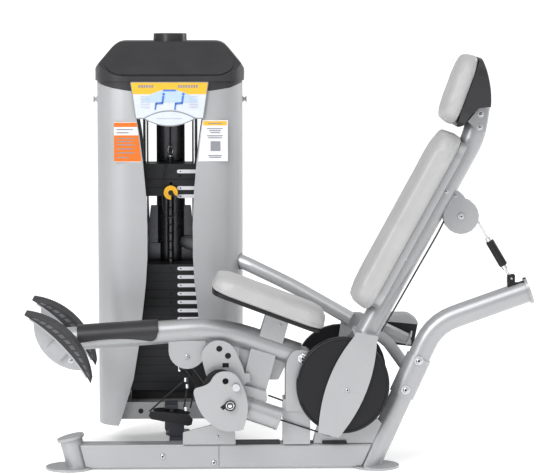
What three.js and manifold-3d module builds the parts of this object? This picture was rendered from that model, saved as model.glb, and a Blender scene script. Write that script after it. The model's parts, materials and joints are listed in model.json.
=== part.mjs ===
// A seated leg machine with a weight-stack tower: a long rocking arm carries the seat and two curved
// footplates, a reclined back frame turns on a shaft with two cable cams, and cables lift the stack.
// Millimetres. +X runs from the footplates to the head, +Y from the seat to the tower, +Z up.
import * as THREE from 'three';
import { mergeVertices } from 'three/addons/utils/BufferGeometryUtils.js';
import Module from 'manifold-3d';

const TURN = Math.PI * 2;
const at = (x, y, z) => new THREE.Vector3(x, y, z);
const wasm = await Module();
wasm.setup();

// Driving dimensions.
const GAP = 0.4;
const TUBE_R = 38;
const ARM_R = 40;
const BEAM = { x0: -700, x1: 395, half: 38, z0: 6, z1: 86 };
const FOOT_R = 80;
const FOOT_T = 8;
const FRONT_FOOT = new THREE.Vector3(-704, 0, 0);
const FRONT_BASE = new THREE.Vector3(-674.5, 0, 4);
const FRONT_TOP = new THREE.Vector3(-695.5, 0, 87);
const REAR_FOOT = new THREE.Vector3(331, 0, 0);
const REAR_BASE = new THREE.Vector3(307, 0, 4);
const REAR_BEND = new THREE.Vector3(527, 0, 487);
const REAR_END = new THREE.Vector3(840, 0, 598);
const REAR_SPLICE = 0.634;
const ARM_PIVOT = new THREE.Vector3(81, 0, 380);
const ARM_FRONT = new THREE.Vector3(-706, 0, 441);
const ARM_BEND = new THREE.Vector3(-196, 0, 475);
const SHAFT = new THREE.Vector3(229, 0, 278);
const SHAFT_R = 15;
const BACK_LOW = new THREE.Vector3(292, 0, 447);
const BACK_BEND = new THREE.Vector3(656, 0, 1119);
const BACK_TOP = new THREE.Vector3(672, 0, 1221);
const BACK_DIR = new THREE.Vector3(0.482, 0, 0.876).normalize();
const LINK_PIN = new THREE.Vector3(785, 0, 642);
const BACK_PULLEY = new THREE.Vector3(613, 0, 853);
const ARM_PULLEY = new THREE.Vector3(-306, 0, 384);
const ARM_PULLEY_R = 40;
const PULLEY_R = 48;
const CAM_HUB = new THREE.Vector3(-163, 0, 233);
const CYLINDER_END = new THREE.Vector3(4, 0, 175);
const CYLINDER_Y = -60;
const PEDAL_TIP = new THREE.Vector2(-839, 558);
const PEDAL_HEEL = new THREE.Vector2(-618, 325);
const PEDAL_Y = 190;
const PEDAL_W = 112;
const CROSS_BAR = new THREE.Vector3(-722, 0, 441);
const TOWER = { x: -366, halfW: 255, y0: 346, y1: 694, z0: 80, z1: 1290 };
const STACK = { halfW: 150, y0: 440, y1: 560, z0: 193, plates: 15, pitch: 29.85, loose: 2 };
const ROD_X = 86.5;
const ROD_R = 9.5;
const STEM_R = 12;
const HEAD_Z = 943;

// Colours: the metal is a silver-grey powder coat, the upholstery a light grey vinyl.
const LOOKS = {
  frame: [0xbfc1c4, 0.4, 0.6],
  dark_frame: [0x4c4c54, 0.6, 0.3],
  dark_plastic: [0x57565c, 0.5, 0.0],
  black_plastic: [0x2a2a2e, 0.6, 0.0],
  vinyl: [0xc6c8c6, 0.6, 0.0],
  shroud: [0xcccdcf, 0.4, 0.2],
  steel_black: [0x4a4b4e, 0.5, 0.6],
  chrome: [0xe4e6e8, 0.15, 1.0],
  rubber: [0x4f5054, 0.9, 0.0],
  cable: [0x26262a, 0.5, 0.0],
  yellow: [0xf0b62a, 0.4, 0.0],
  placard: [0xe9ecf2, 0.4, 0.0],
};

function material(look) {
  const [color, roughness, metalness] = LOOKS[look];
  return new THREE.MeshStandardMaterial({ color, roughness, metalness });
}

// ---- Solids ----

// A closed geometry as a solid, with its faces turned outwards.
function solid(geometry) {
  const bare = new THREE.BufferGeometry();
  const flat = geometry.index ? geometry.toNonIndexed() : geometry;
  bare.setAttribute('position', flat.getAttribute('position').clone());
  const merged = mergeVertices(bare, 1e-3);
  const vertProperties = new Float32Array(merged.attributes.position.array);
  const triVerts = new Uint32Array(merged.index.array);
  const made = new wasm.Manifold(new wasm.Mesh({ numProp: 3, vertProperties, triVerts }));
  if (made.volume() > 0) return made;
  for (let i = 0; i < triVerts.length; i += 3) {
    [triVerts[i + 1], triVerts[i + 2]] = [triVerts[i + 2], triVerts[i + 1]];
  }
  return new wasm.Manifold(new wasm.Mesh({ numProp: 3, vertProperties, triVerts }));
}

function join(...solids) {
  return solids.reduce((whole, next) => whole.add(next));
}

function cut(body, ...tools) {
  return tools.reduce((whole, next) => whole.subtract(next), body);
}

function meet(...solids) {
  return solids.reduce((whole, next) => whole.intersect(next));
}

function meshOf(name, look, made) {
  const { vertProperties, numProp, triVerts } = made.getMesh();
  const corners = [];
  for (let i = 0; i < vertProperties.length; i += numProp) {
    corners.push(vertProperties[i], vertProperties[i + 1], vertProperties[i + 2]);
  }
  const geometry = new THREE.BufferGeometry();
  geometry.setAttribute('position', new THREE.Float32BufferAttribute(corners, 3));
  geometry.setIndex([...triVerts]);
  geometry.computeVertexNormals();
  const mesh = new THREE.Mesh(geometry, material(look));
  mesh.name = name;
  return mesh;
}

function box(x0, x1, y0, y1, z0, z1) {
  const geometry = new THREE.BoxGeometry(x1 - x0, y1 - y0, z1 - z0);
  return solid(geometry.translate((x0 + x1) / 2, (y0 + y1) / 2, (z0 + z1) / 2));
}

// A round bar between two points.
function rod(from, to, radius, sides = 14) {
  const along = new THREE.Vector3().subVectors(to, from);
  const geometry = new THREE.CylinderGeometry(radius, radius, along.length(), sides);
  const turn = new THREE.Quaternion().setFromUnitVectors(
    new THREE.Vector3(0, 1, 0), along.clone().normalize());
  geometry.applyQuaternion(turn);
  const middle = new THREE.Vector3().addVectors(from, to).multiplyScalar(0.5);
  return solid(geometry.translate(middle.x, middle.y, middle.z));
}

// A round bar along Y through (x, z).
function crossRod(x, z, y0, y1, radius, sides = 14) {
  return rod(new THREE.Vector3(x, y0, z), new THREE.Vector3(x, y1, z), radius, sides);
}

// A flat plate: an outline in X and Z, reaching from y0 to y1.
function plate(shape, y0, y1, curveSegments = 4) {
  const geometry = new THREE.ExtrudeGeometry(shape, {
    depth: y1 - y0, bevelEnabled: false, curveSegments,
  });
  return solid(geometry.rotateX(Math.PI / 2).translate(0, y1, 0));
}

// A plan outline in X and Y, reaching from z0 to z1.
function column(shape, z0, z1, curveSegments = 8) {
  const geometry = new THREE.ExtrudeGeometry(shape, {
    depth: z1 - z0, bevelEnabled: false, curveSegments,
  });
  return solid(geometry.translate(0, 0, z0));
}

// A polygon whose corners are rounded: each corner is [x, y, reach], and no reach passes half an edge.
function rounded(corners) {
  const shape = new THREE.Shape();
  const count = corners.length;
  corners.forEach(([x, y, reach = 0], i) => {
    const here = new THREE.Vector2(x, y);
    const before = new THREE.Vector2(...corners[(i + count - 1) % count]).sub(here);
    const after = new THREE.Vector2(...corners[(i + 1) % count]).sub(here);
    const r = Math.min(reach, 0.48 * before.length(), 0.48 * after.length());
    const enter = here.clone().add(before.setLength(r));
    const leave = here.clone().add(after.setLength(r));
    if (i === 0) shape.moveTo(enter.x, enter.y);
    else shape.lineTo(enter.x, enter.y);
    if (r > 0) shape.quadraticCurveTo(x, y, leave.x, leave.y);
  });
  shape.closePath();
  return shape;
}

function polygon(corners) {
  return new THREE.Shape(corners.map(([x, y]) => new THREE.Vector2(x, y)));
}

function roundedBox(x0, x1, y0, y1, r) {
  return rounded([[x0, y0, r], [x1, y0, r], [x1, y1, r], [x0, y1, r]]);
}

const BEND_STEPS = 5;

// Straight runs with a rounded bend at each inner point: a run takes one step and a bend takes five.
class BentPath extends THREE.Curve {
  constructor(points, bend) {
    super();
    this.knots = [points[0]];
    for (let i = 1; i < points.length - 1; i += 1) {
      const corner = points[i];
      const enter = corner.clone().add(points[i - 1].clone().sub(corner).setLength(bend));
      const leave = corner.clone().add(points[i + 1].clone().sub(corner).setLength(bend));
      const turn = new THREE.QuadraticBezierCurve3(enter, corner, leave);
      this.knots.push(...turn.getPoints(BEND_STEPS));
    }
    this.knots.push(points.at(-1));
    this.steps = this.knots.length - 1;
  }

  getPoint(t) {
    const place = Math.min(Math.max(t, 0), 1) * this.steps;
    const i = Math.min(Math.floor(place), this.steps - 1);
    return this.knots[i].clone().lerp(this.knots[i + 1], place - i);
  }

  getPointAt(u) {
    return this.getPoint(u);
  }

  getUtoTmapping(u) {
    return u;
  }
}

// A round section carried along a path.
function pipe(path, radius, sides, steps) {
  const section = new THREE.Shape();
  for (let i = 0; i < sides; i += 1) {
    const turn = (i / sides) * TURN;
    const corner = [radius * Math.cos(turn), radius * Math.sin(turn)];
    if (i === 0) section.moveTo(...corner);
    else section.lineTo(...corner);
  }
  section.closePath();
  return solid(new THREE.ExtrudeGeometry(section, { steps, extrudePath: path }));
}

function bentTube(points, bend, radius, sides = 20) {
  const path = new BentPath(points, bend);
  return pipe(path, radius, sides, path.steps);
}

// A grooved pulley on an axle along Y, with a bore.
function pulley(centre, y, radius, width, groove, bore) {
  const half = width / 2;
  const profile = [
    [bore, -half], [radius, -half], [groove, -half * 0.35], [groove, half * 0.35],
    [radius, half], [bore, half], [bore, -half],
  ].map(([r, h]) => new THREE.Vector2(r, h));
  return solid(new THREE.LatheGeometry(profile, 22).translate(centre.x, y, centre.z));
}

// Turns a solid built flat (length X, width Y, thickness Z) into its place in the X-Z plane.
function placed(geometry, x, z, rise) {
  return solid(geometry.rotateY(-rise).translate(x, 0, z));
}

// A pad with rounded edges: length by width, its underside at the origin's height.
function padForm(length, width, thick, cornerR, edgeR) {
  const shape = roundedBox(edgeR, length - edgeR, -width / 2 + edgeR, width / 2 - edgeR, cornerR);
  return new THREE.ExtrudeGeometry(shape, {
    depth: thick - 2 * edgeR, bevelEnabled: true, bevelThickness: edgeR, bevelSize: edgeR,
    bevelSegments: 2, curveSegments: 3,
  }).translate(0, 0, edgeR);
}

// ---- Base frame ----

const FLOOR = box(-1500, 1500, -1500, 1500, -200, 0);

function frontAxis(share) {
  return new THREE.Vector3().lerpVectors(FRONT_BASE, FRONT_TOP, share);
}

function frontFoot() {
  const sole = rod(at(FRONT_FOOT.x, 0, 0), at(FRONT_FOOT.x, 0, FOOT_T), FOOT_R, 28);
  return cut(join(sole, rod(frontAxis(-0.3), frontAxis(1), TUBE_R, 24)), FLOOR);
}

function frontCap() {
  const up = frontAxis(1).sub(frontAxis(0)).normalize();
  const seat = FRONT_TOP.clone().addScaledVector(up, GAP);
  const rim = seat.clone().addScaledVector(up, 10);
  const top = seat.clone().addScaledVector(up, 13);
  return join(rod(seat, rim, 46, 24), rod(rim, top, TUBE_R, 20));
}

function rearAxis(share) {
  return new THREE.Vector3().lerpVectors(REAR_BASE, REAR_BEND, share);
}

function rearFoot() {
  const sole = rod(REAR_FOOT, REAR_FOOT.clone().setZ(FOOT_T), FOOT_R, 28);
  return cut(join(sole, rod(rearAxis(-0.1), rearAxis(REAR_SPLICE), TUBE_R, 24)), FLOOR);
}

function rearUpright() {
  const tube = bentTube([rearAxis(REAR_SPLICE + 0.003), REAR_BEND, REAR_END], 75, TUBE_R, 24);
  const tab = box(LINK_PIN.x - 12, LINK_PIN.x + 32, -15, 15, 590, 626);
  const ears = box(LINK_PIN.x - 12, LINK_PIN.x + 12, -15, 15, 620, LINK_PIN.z + 12);
  const slot = box(LINK_PIN.x - 30, LINK_PIN.x + 30, -8.5, 8.5, 627, LINK_PIN.z + 30);
  const out = REAR_END.clone().sub(REAR_BEND).normalize();
  const [inner, outer] = [-1, 9].map((along) => REAR_END.clone().addScaledVector(out, along));
  const flange = rod(inner, outer, 46, 28);
  const pin = crossRod(LINK_PIN.x, LINK_PIN.z, -20, 16, 4, 12);
  return join(cut(join(tube, tab, ears), slot), pin, flange);
}

function sleeve(from, to, inner, outer, sides = 20) {
  const over = to.clone().sub(from).setLength(5);
  const bore = rod(from.clone().sub(over), to.clone().add(over), inner, sides);
  return cut(rod(from, to, outer, sides), bore);
}

function baseBeam() {
  const { half, z0, z1 } = BEAM;
  const profile = roundedBox(z0, z1, -half, half, 8);
  const along = new THREE.ExtrudeGeometry(profile, {
    depth: BEAM.x1 - BEAM.x0, bevelEnabled: false, curveSegments: 3,
  });
  along.rotateY(Math.PI / 2).scale(1, 1, -1).translate(BEAM.x0, 0, 0);
  const frontClear = rod(frontAxis(-0.3), frontAxis(1), TUBE_R + GAP, 24);
  const rearClear = rod(rearAxis(-0.1), rearAxis(0.4), TUBE_R + GAP, 24);
  const [lean, rake] = [frontAxis, rearAxis].map((axis) => {
    const [low, high] = [axis(0), axis(1)];
    return (z) => low.x + ((z - low.z) * (high.x - low.x)) / (high.z - low.z);
  });
  const ahead = polygon([[-800, -10], [lean(-10) + 29, -10], [lean(110) + 29, 110], [-800, 110]]);
  const behind = polygon([[500, -10], [rake(-10) - 29, -10], [rake(110) - 29, 110], [500, 110]]);
  const soles = join(
    rod(FRONT_FOOT, FRONT_FOOT.clone().setZ(FOOT_T + GAP), FOOT_R + GAP, 28),
    rod(REAR_FOOT, REAR_FOOT.clone().setZ(FOOT_T + GAP), FOOT_R + GAP, 28),
  );
  const ends = join(plate(ahead, -60, 60), plate(behind, -60, 60));
  return cut(solid(along), frontClear, rearClear, ends, soles);
}

// The largest of the separate bodies that a cut leaves.
function largest(made) {
  return made.decompose().sort((a, b) => b.volume() - a.volume())[0];
}

function pivotPost() {
  const outer = box(16, 107, -46, 46, BEAM.z1 + GAP, 240);
  const inner = box(23, 100, -40, 40, BEAM.z1 - 10, 300);
  const slot = box(10, 40, -7, 7, 212, 232);
  const ear = rounded([
    [24, 200, 0], [104, 200, 0], [116, 330, 10], [112, 404, 30], [48, 410, 34], [24, 360, 20]]);
  const bore = crossRod(ARM_PIVOT.x, ARM_PIVOT.z, -70, 70, 12 + GAP, 20);
  const walls = join(cut(outer, inner, slot), plate(ear, -52, -44), plate(ear, 44, 52));
  return cut(walls, bore);
}

function armPivotPin() {
  const { x, z } = ARM_PIVOT;
  const head = crossRod(x, z, -60, -52 - GAP, 17, 6);
  const nut = crossRod(x, z, 52 + GAP, 62, 17, 6);
  return join(crossRod(x, z, -53, 53, 12, 20), head, nut);
}

function shaftStand() {
  const { x, z } = SHAFT;
  const web = rounded([
    [118, BEAM.z1 + GAP, 0], [345, BEAM.z1 + GAP, 0], [352, 150, 4], [262, 250, 20],
    [x + 30, z + 30, 26], [x - 30, z + 30, 26], [196, 250, 20], [128, 128, 20]]);
  const boss = crossRod(x, z, -40, 40, 34, 20);
  const bore = crossRod(x, z, -80, 80, SHAFT_R + GAP, 14);
  const rearClear = rod(rearAxis(-0.1), rearAxis(0.4), TUBE_R + GAP, 24);
  return largest(cut(join(plate(web, -30, 30), boss), bore, rearClear));
}

function tieBar(radius) {
  const bends = [at(264, 304, 463), at(60, 362, 574), at(-128, 415, 660), at(-316, 600, 706)];
  return bentTube(bends, 60, radius, 16);
}

// The tie from the tower to the far bearing of the shaft, with its brace down to the rear tube.
function tieFrame() {
  const bar = tieBar(24);
  const hanger = rounded([[SHAFT.x - 30, SHAFT.z - 24, 24], [SHAFT.x + 30, SHAFT.z - 24, 24],
    [300, 400, 10], [476, 368, 6], [476, 388, 6], [300, 484, 10], [235, 484, 10]]);
  const web = plate(hanger, 318, 330);
  const arm = rod(at(366, 296, 443), at(466, 296, 396), 16, 4);
  const flange = rod(at(464, 296, 397), at(469, 296, 394.8), 28, 4);
  const link = box(384, 404, 296, 324, 420, 440);
  const brace = bentTube([at(318, 322, 430), at(384, 250, 396), at(448, 36, 318)], 40, 20, 14);
  const bore = crossRod(SHAFT.x, SHAFT.z, 200, 500, SHAFT_R + GAP, 14);
  const sleeveClear = rod(rearAxis(0.4), rearAxis(0.9), 43 + GAP, 32);
  const boss = crossRod(SHAFT.x, SHAFT.z, 308, 330, 28, 14);
  const whole = join(bar, web, arm, flange, link, brace, boss);
  const mastClear = box(-520, -200, 590 - GAP, 700, 620, 780);
  return largest(cut(whole, bore, sleeveClear, mastClear));
}

// The black side box beyond the shaft, with its pale rounded lid.
function sideCover() {
  const front = rounded([[388, 372, 4], [484, 361, 4], [499, 440, 4], [388, 453, 4]]);
  const lid = rounded([
    [384, 451, 2], [500, 438.5, 2], [498, 452, 4], [470, 471, 14], [390, 471, 8]]);
  return join(plate(front, 331, 430), plate(lid, 327, 434));
}

function cableBracket() {
  const z0 = BEAM.z1 + GAP;
  const web = rounded([[-321, z0, 0], [-143, z0, 0], [-148, 150, 20], [-170, 168, 16], [-321, 128, 4]]);
  return plate(web, -44, -34);
}

// ---- Tower ----

function towerBase() {
  const tray = box(-538, -194, 387, 653, 90, 153);
  const body = cut(box(-545, -187, 380, 660, 100, 160), tray);
  const hole = crossRod(-472, 128, 370, 400, 8, 14);
  const plinth = box(-400, -290, 400, 640, BEAM.z1 + GAP, 154);
  return cut(join(body, plinth), hole);
}

function crossTube() {
  const tube = box(-368, -322, BEAM.half + GAP, 680, BEAM.z0, BEAM.z1);
  const sole = column(roundedBox(-388, -302, 600, 690, 16), 0, 8, 4);
  const stem = box(-360, -330, 610, 670, 4, 20);
  return join(tube, sole, stem);
}

// Half-width of the front opening at a height, from wide at the cap to a waist and out again.
const OPENING = [[1310, 142], [1112, 106], [899, 83], [680, 79], [492, 95], [245, 130], [60, 190]];

function towerPlan(inset) {
  const { x, halfW, y0, y1 } = TOWER;
  return roundedBox(x - halfW + inset, x + halfW - inset, y0 + inset, y1 - inset, 125 - inset);
}

function shroud(side) {
  const { x, z0, z1 } = TOWER;
  const wall = cut(column(towerPlan(0), z0, z1, 8), column(towerPlan(7), z0 - 5, z1 + 5, 8));
  const edge = OPENING.map(([z, half]) => new THREE.Vector2(x + side * half, z));
  const curve = new THREE.SplineCurve(edge).getPoints(12);
  const outline = new THREE.Shape([
    ...curve, new THREE.Vector2(x + side * 400, 60), new THREE.Vector2(x + side * 400, 1310)]);
  const keep = plate(outline, TOWER.y0 - 20, TOWER.y1 + 20);
  return largest(cut(meet(wall, keep), tieBar(27), skirtZone(-GAP, 520 + GAP)));
}

// The front band below the cap, where its skirt hangs over the openings' upper corners.
const SKIRT = [[-640, 1292], [-626, 1288], [-600, 1277], [-565, 1267], [-530, 1261], [-503, 1257],
  [-494, 1258], [-494, 1285], [-238, 1285], [-238, 1258], [-226, 1257], [-157, 1267], [-108, 1286],
  [-92, 1292]];

function skirtZone(lift, y1) {
  const edge = SKIRT.map(([x, z]) => [x, z + lift]);
  return plate(polygon([...edge, [-92, 1310], [-640, 1310]]), 200, y1);
}

function capSkirt() {
  const wall = cut(column(towerPlan(0), 1250, 1296, 8), column(towerPlan(7), 1240, 1300, 8));
  return meet(wall, skirtZone(0, 520));
}

function capForm(inset) {
  const { x, halfW, y0, y1, z1 } = TOWER;
  const over = 6 - inset;
  const plan = roundedBox(x - halfW - over, x + halfW + over, y0 - over, y1 + over, 125);
  const front = rounded([
    [x - halfW - 20, z1 - 6, 0], [x + halfW + 20, z1 - 6, 0], [x + halfW + 6, 1335 - inset, 40],
    [x + 186, 1424 - inset, 28], [x - 186, 1424 - inset, 28], [x - halfW - 6, 1335 - inset, 40]]);
  const side = new THREE.Shape([
    new THREE.Vector2(y0 - 30, z1 - 6), new THREE.Vector2(y1 + 30, z1 - 6),
    new THREE.Vector2(y1 + 30, 1396 - inset), new THREE.Vector2(660, 1424 - inset),
    new THREE.Vector2(500, 1424 - inset),
    new THREE.Vector2(y0 - 8, 1304 - inset), new THREE.Vector2(y0 - 30, 1304 - inset)]);
  const sideways = new THREE.ExtrudeGeometry(side, { depth: 700, bevelEnabled: false });
  sideways.rotateX(Math.PI / 2).rotateZ(Math.PI / 2).translate(x - 350, 0, 0);
  return meet(column(plan, z1 + GAP, 1440, 8), plate(front, 200, 800), solid(sideways));
}

function topCap() {
  const hollow = meet(capForm(9), box(-700, 0, 300, 750, 1280, 1440).translate(0, 0, -6));
  const shell = cut(capForm(0), hollow.translate(0, 0, -4));
  const drum = new THREE.CylinderGeometry(58, 61, 62, 28).rotateX(Math.PI / 2);
  const knob = solid(drum.translate(TOWER.x, 580, 1419));
  return join(shell, capSkirt(), knob);
}

function placard() {
  const x = TOWER.x;
  const board = rounded([
    [x - 136, 1289, 6], [x - 118, 1160, 8], [x + 118, 1160, 8], [x + 136, 1289, 6]]);
  const lens = new THREE.Shape();
  lens.moveTo(x - 92, 1162);
  lens.quadraticCurveTo(x, 1218, x + 92, 1162);
  lens.quadraticCurveTo(x, 1106, x - 92, 1162);
  const stays = [x - 118, x + 118].map((middle) => box(middle - 10, middle + 10, 341, 352, 1240, 1275));
  const whole = join(plate(board, 336, 341.5), plate(lens, 333, 341.5, 12), ...stays);
  return cut(whole, column(towerPlan(-GAP), 1000, 1288, 10));
}

function mast() {
  const x = TOWER.x;
  const post = box(x - 50, x + 50, 600, 650, 160 + GAP, 1330);
  const brace = box(x - 140, x + 140, 590, 606, 625, 701);
  const ears = [-1, 1].map((side) => {
    const outline = [[46, 695], [140, 695], [140, 779], [78, 779], [71, 836], [46, 836]];
    return plate(polygon(outline.map(([across, z]) => [x + side * across, z])), 596, 606);
  });
  return join(post, brace, ...ears);
}

// A round bar along Z through (x, y).
function pillar(x, y, z0, z1, radius, sides = 16) {
  return rod(at(x, y, z0), at(x, y, z1), radius, sides);
}

// Two rods held by the plate across their tops.
function guideRods() {
  const x = TOWER.x;
  const opening = box(x - 40, x + 40, 450, 592, 1290, 1320);
  const crown = cut(box(x - 120, x + 120, 446, 596, 1300, 1312), opening);
  const rods = [-1, 1].map((side) => pillar(x + side * ROD_X, 500, 160 + GAP, 1310, ROD_R, 20));
  return join(crown, ...rods);
}

function plateHoles(z0, z1) {
  const { x } = TOWER;
  return join(
    pillar(x - ROD_X, 500, z0 - 5, z1 + 5, ROD_R + 0.8),
    pillar(x + ROD_X, 500, z0 - 5, z1 + 5, ROD_R + 0.8),
    pillar(x, 500, z0 - 5, z1 + 5, STEM_R + 1),
  );
}

const GROOVE = { half: 1.6, depth: 4 };

// Weight plates drawn as one comb along Y and Z, with a groove between each two, and a pin hole in one.
function weights(z0, count) {
  const { y0, y1, pitch, halfW } = STACK;
  const z1 = z0 + count * pitch - GAP;
  const seams = Array.from({ length: count - 1 }, (_, i) => z0 + (i + 1) * pitch);
  const { half, depth } = GROOVE;
  const comb = (y, inwards) => seams.flatMap((z) => [
    [y, z - half], [y + inwards, z - half], [y + inwards, z + half], [y, z + half]]);
  const outline = [
    [y0, z0], ...comb(y0, depth), [y0, z1], [y1, z1], ...comb(y1, -depth).reverse(), [y1, z0]];
  const profile = new THREE.Shape(outline.map(([y, z]) => new THREE.Vector2(y, z)));
  const block = new THREE.ExtrudeGeometry(profile, { depth: 2 * halfW, bevelEnabled: false });
  block.rotateX(Math.PI / 2).rotateZ(Math.PI / 2).translate(TOWER.x - halfW, 0, 0);
  const pinHole = crossRod(TOWER.x, z1 - pitch / 2, y0 - 2, 500, 5, 8);
  return cut(solid(block), plateHoles(z0, z1), pinHole);
}

function stackCushion() {
  const x = TOWER.x;
  const z1 = STACK.z0 - GAP;
  return cut(box(x - 140, x + 140, 450, 550, 160 + GAP, z1), plateHoles(150, z1));
}

const PIN_Z = HEAD_Z - 46.3;

// ---- Carriage: the top plate, two add-on plates and the selector stem ----

function headPlate() {
  const x = TOWER.x;
  const body = box(x - 146, x + 146, 440, 560, HEAD_Z, HEAD_Z + 53);
  const holes = [x - ROD_X, x + ROD_X].map((rodX) => pillar(rodX, 500, 900, 1100, ROD_R + 0.8));
  const socket = pillar(x, 500, HEAD_Z - 5, HEAD_Z + 20, STEM_R + GAP);
  const collar = pillar(x, 500, HEAD_Z + 50, HEAD_Z + 74, 12);
  const swivel = pillar(x, 500, HEAD_Z + 70, HEAD_Z + 104, 6);
  return cut(join(body, collar, swivel), ...holes, socket);
}

function addOnPlate(z0) {
  const x = TOWER.x;
  const body = box(x - 140, x + 140, 440, 560, z0, z0 + 28.6);
  const pinHole = crossRod(x + 2, z0 + 14, 430, 500, 5.4, 12);
  return cut(body, plateHoles(z0, z0 + 30), pinHole);
}

function selectorStem() {
  const x = TOWER.x;
  const stem = pillar(x, 500, 230, HEAD_Z + 18, STEM_R, 16);
  const heights = Array.from({ length: 8 }, (_, i) => 658 + i * STACK.pitch);
  const holes = heights.map((z) => crossRod(x, z, 480, 520, 4, 6));
  const pinHole = crossRod(x + 2, PIN_Z, 480, 520, 5.4, 12);
  return cut(stem, ...holes, pinHole);
}

// The yellow hooked handle and its steel pin.
function selectorPin() {
  const x = TOWER.x + 2;
  const hook = new THREE.Shape();
  hook.absarc(x, PIN_Z, 25, -0.55, TURN - 1.5, false);
  hook.absarc(x, PIN_Z, 11, TURN - 1.5, -0.55, true);
  const hub = crossRod(x, PIN_Z, 414, 430, 13, 14);
  return join(plate(hook, 416, 428, 20), hub, crossRod(x, PIN_Z, 420, 488, 4.6, 12));
}

function lanyardPath() {
  const x = TOWER.x;
  return new THREE.CatmullRomCurve3([
    at(x - 14, 439.4, 992), at(x - 15, 430, 990), at(x - 19, 425, 975), at(x - 23, 423, 940),
    at(x - 27, 421, 905), at(x - 28, 420, 870), at(x - 24, 420, 838), at(x - 12, 420, 812),
    at(x + 4, 420, 806), at(x + 17, 421, 820), at(x + 22, 422, 846), at(x + 18, 422, 872.5),
  ]);
}

function liftCable() {
  const x = TOWER.x;
  return pillar(x, 500, HEAD_Z + 104 + GAP, 1296, 3, 10);
}

// ---- Rocking arm ----

function armForm(radius, ahead = 0) {
  const front = ARM_FRONT.clone().add(ARM_FRONT.clone().sub(ARM_BEND).setLength(ahead));
  return bentTube([front, ARM_BEND, ARM_PIVOT.clone().add(at(-14, 0, 5))], 110, radius);
}

function armTube() {
  const tube = armForm(ARM_R);
  const bush = crossRod(ARM_PIVOT.x, ARM_PIVOT.z, -42, 42, 27, 20);
  const bore = crossRod(ARM_PIVOT.x, ARM_PIVOT.z, -60, 60, 12 + GAP, 20);
  return cut(join(tube, bush), bore);
}

// The moulded cover over the front stretch of the arm, with a lower edge that sweeps up.
function armCover() {
  const along = ARM_BEND.clone().sub(ARM_FRONT).normalize();
  const from = ARM_FRONT.clone().addScaledVector(along, 34);
  const to = ARM_FRONT.clone().addScaledVector(along, 306);
  const shell = sleeve(from, to, ARM_R + GAP, ARM_R + 6, 20);
  const edge = new THREE.Shape();
  edge.moveTo(-720, 340);
  edge.lineTo(-720, 420);
  edge.quadraticCurveTo(-560, 462, -430, 437);
  edge.quadraticCurveTo(-405, 436, -404, 470);
  edge.lineTo(-390, 470);
  edge.lineTo(-390, 340);
  edge.closePath();
  return largest(cut(shell, plate(edge, -80, 80, 10)));
}

const SEAT = { x: -230, z: 620, rise: -0.359, length: 408, width: 300, board: 12, thick: 58 };

function seatBoard() {
  const shape = roundedBox(14, SEAT.length - 12, -SEAT.width / 2 + 18, SEAT.width / 2 - 18, 50);
  const geometry = new THREE.ExtrudeGeometry(shape, {
    depth: SEAT.board, bevelEnabled: false, curveSegments: 5,
  });
  return placed(geometry.translate(0, 0, -SEAT.board), SEAT.x, SEAT.z, SEAT.rise);
}

function seatPad() {
  const geometry = padForm(SEAT.length, SEAT.width, SEAT.thick, 44, 24);
  return placed(geometry.translate(0, 0, GAP), SEAT.x, SEAT.z, SEAT.rise);
}

// The box bracket between the arm and the seat board.
function seatBracket() {
  const drop = Math.tan(-SEAT.rise);
  const under = (x) => SEAT.z - (x - SEAT.x) * drop - SEAT.board / Math.cos(SEAT.rise) - GAP;
  const web = new THREE.Shape([
    new THREE.Vector2(-66, 446), new THREE.Vector2(8, 400), new THREE.Vector2(37, under(37)),
    new THREE.Vector2(-38, under(-38))]);
  const flange = new THREE.Shape([
    new THREE.Vector2(-80, under(-80) - 7), new THREE.Vector2(80, under(80) - 7),
    new THREE.Vector2(80, under(80)), new THREE.Vector2(-80, under(-80))]);
  const clear = armForm(ARM_R + GAP);
  return largest(cut(join(plate(web, -34, 34), plate(flange, -70, 70)), clear));
}

function armPulleyGuard() {
  const { x, z } = ARM_PULLEY;
  const [mid, top, r] = [z + 19, z + 53, 62];
  const cheek = new THREE.Shape();
  cheek.moveTo(x - r, top);
  cheek.lineTo(x - r, mid);
  cheek.absarc(x, mid, r, Math.PI, TURN, false);
  cheek.lineTo(x + r, top);
  cheek.closePath();
  const cheeks = join(plate(cheek, -26, -20, 7), plate(cheek, 20, 26, 7));
  const bridge = box(x - 54, x + r, -24, 24, z + 45, top);
  const axle = crossRod(x, z, -30, 30, 8);
  return largest(cut(join(cheeks, bridge, axle), armForm(ARM_R + GAP)));
}

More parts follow.
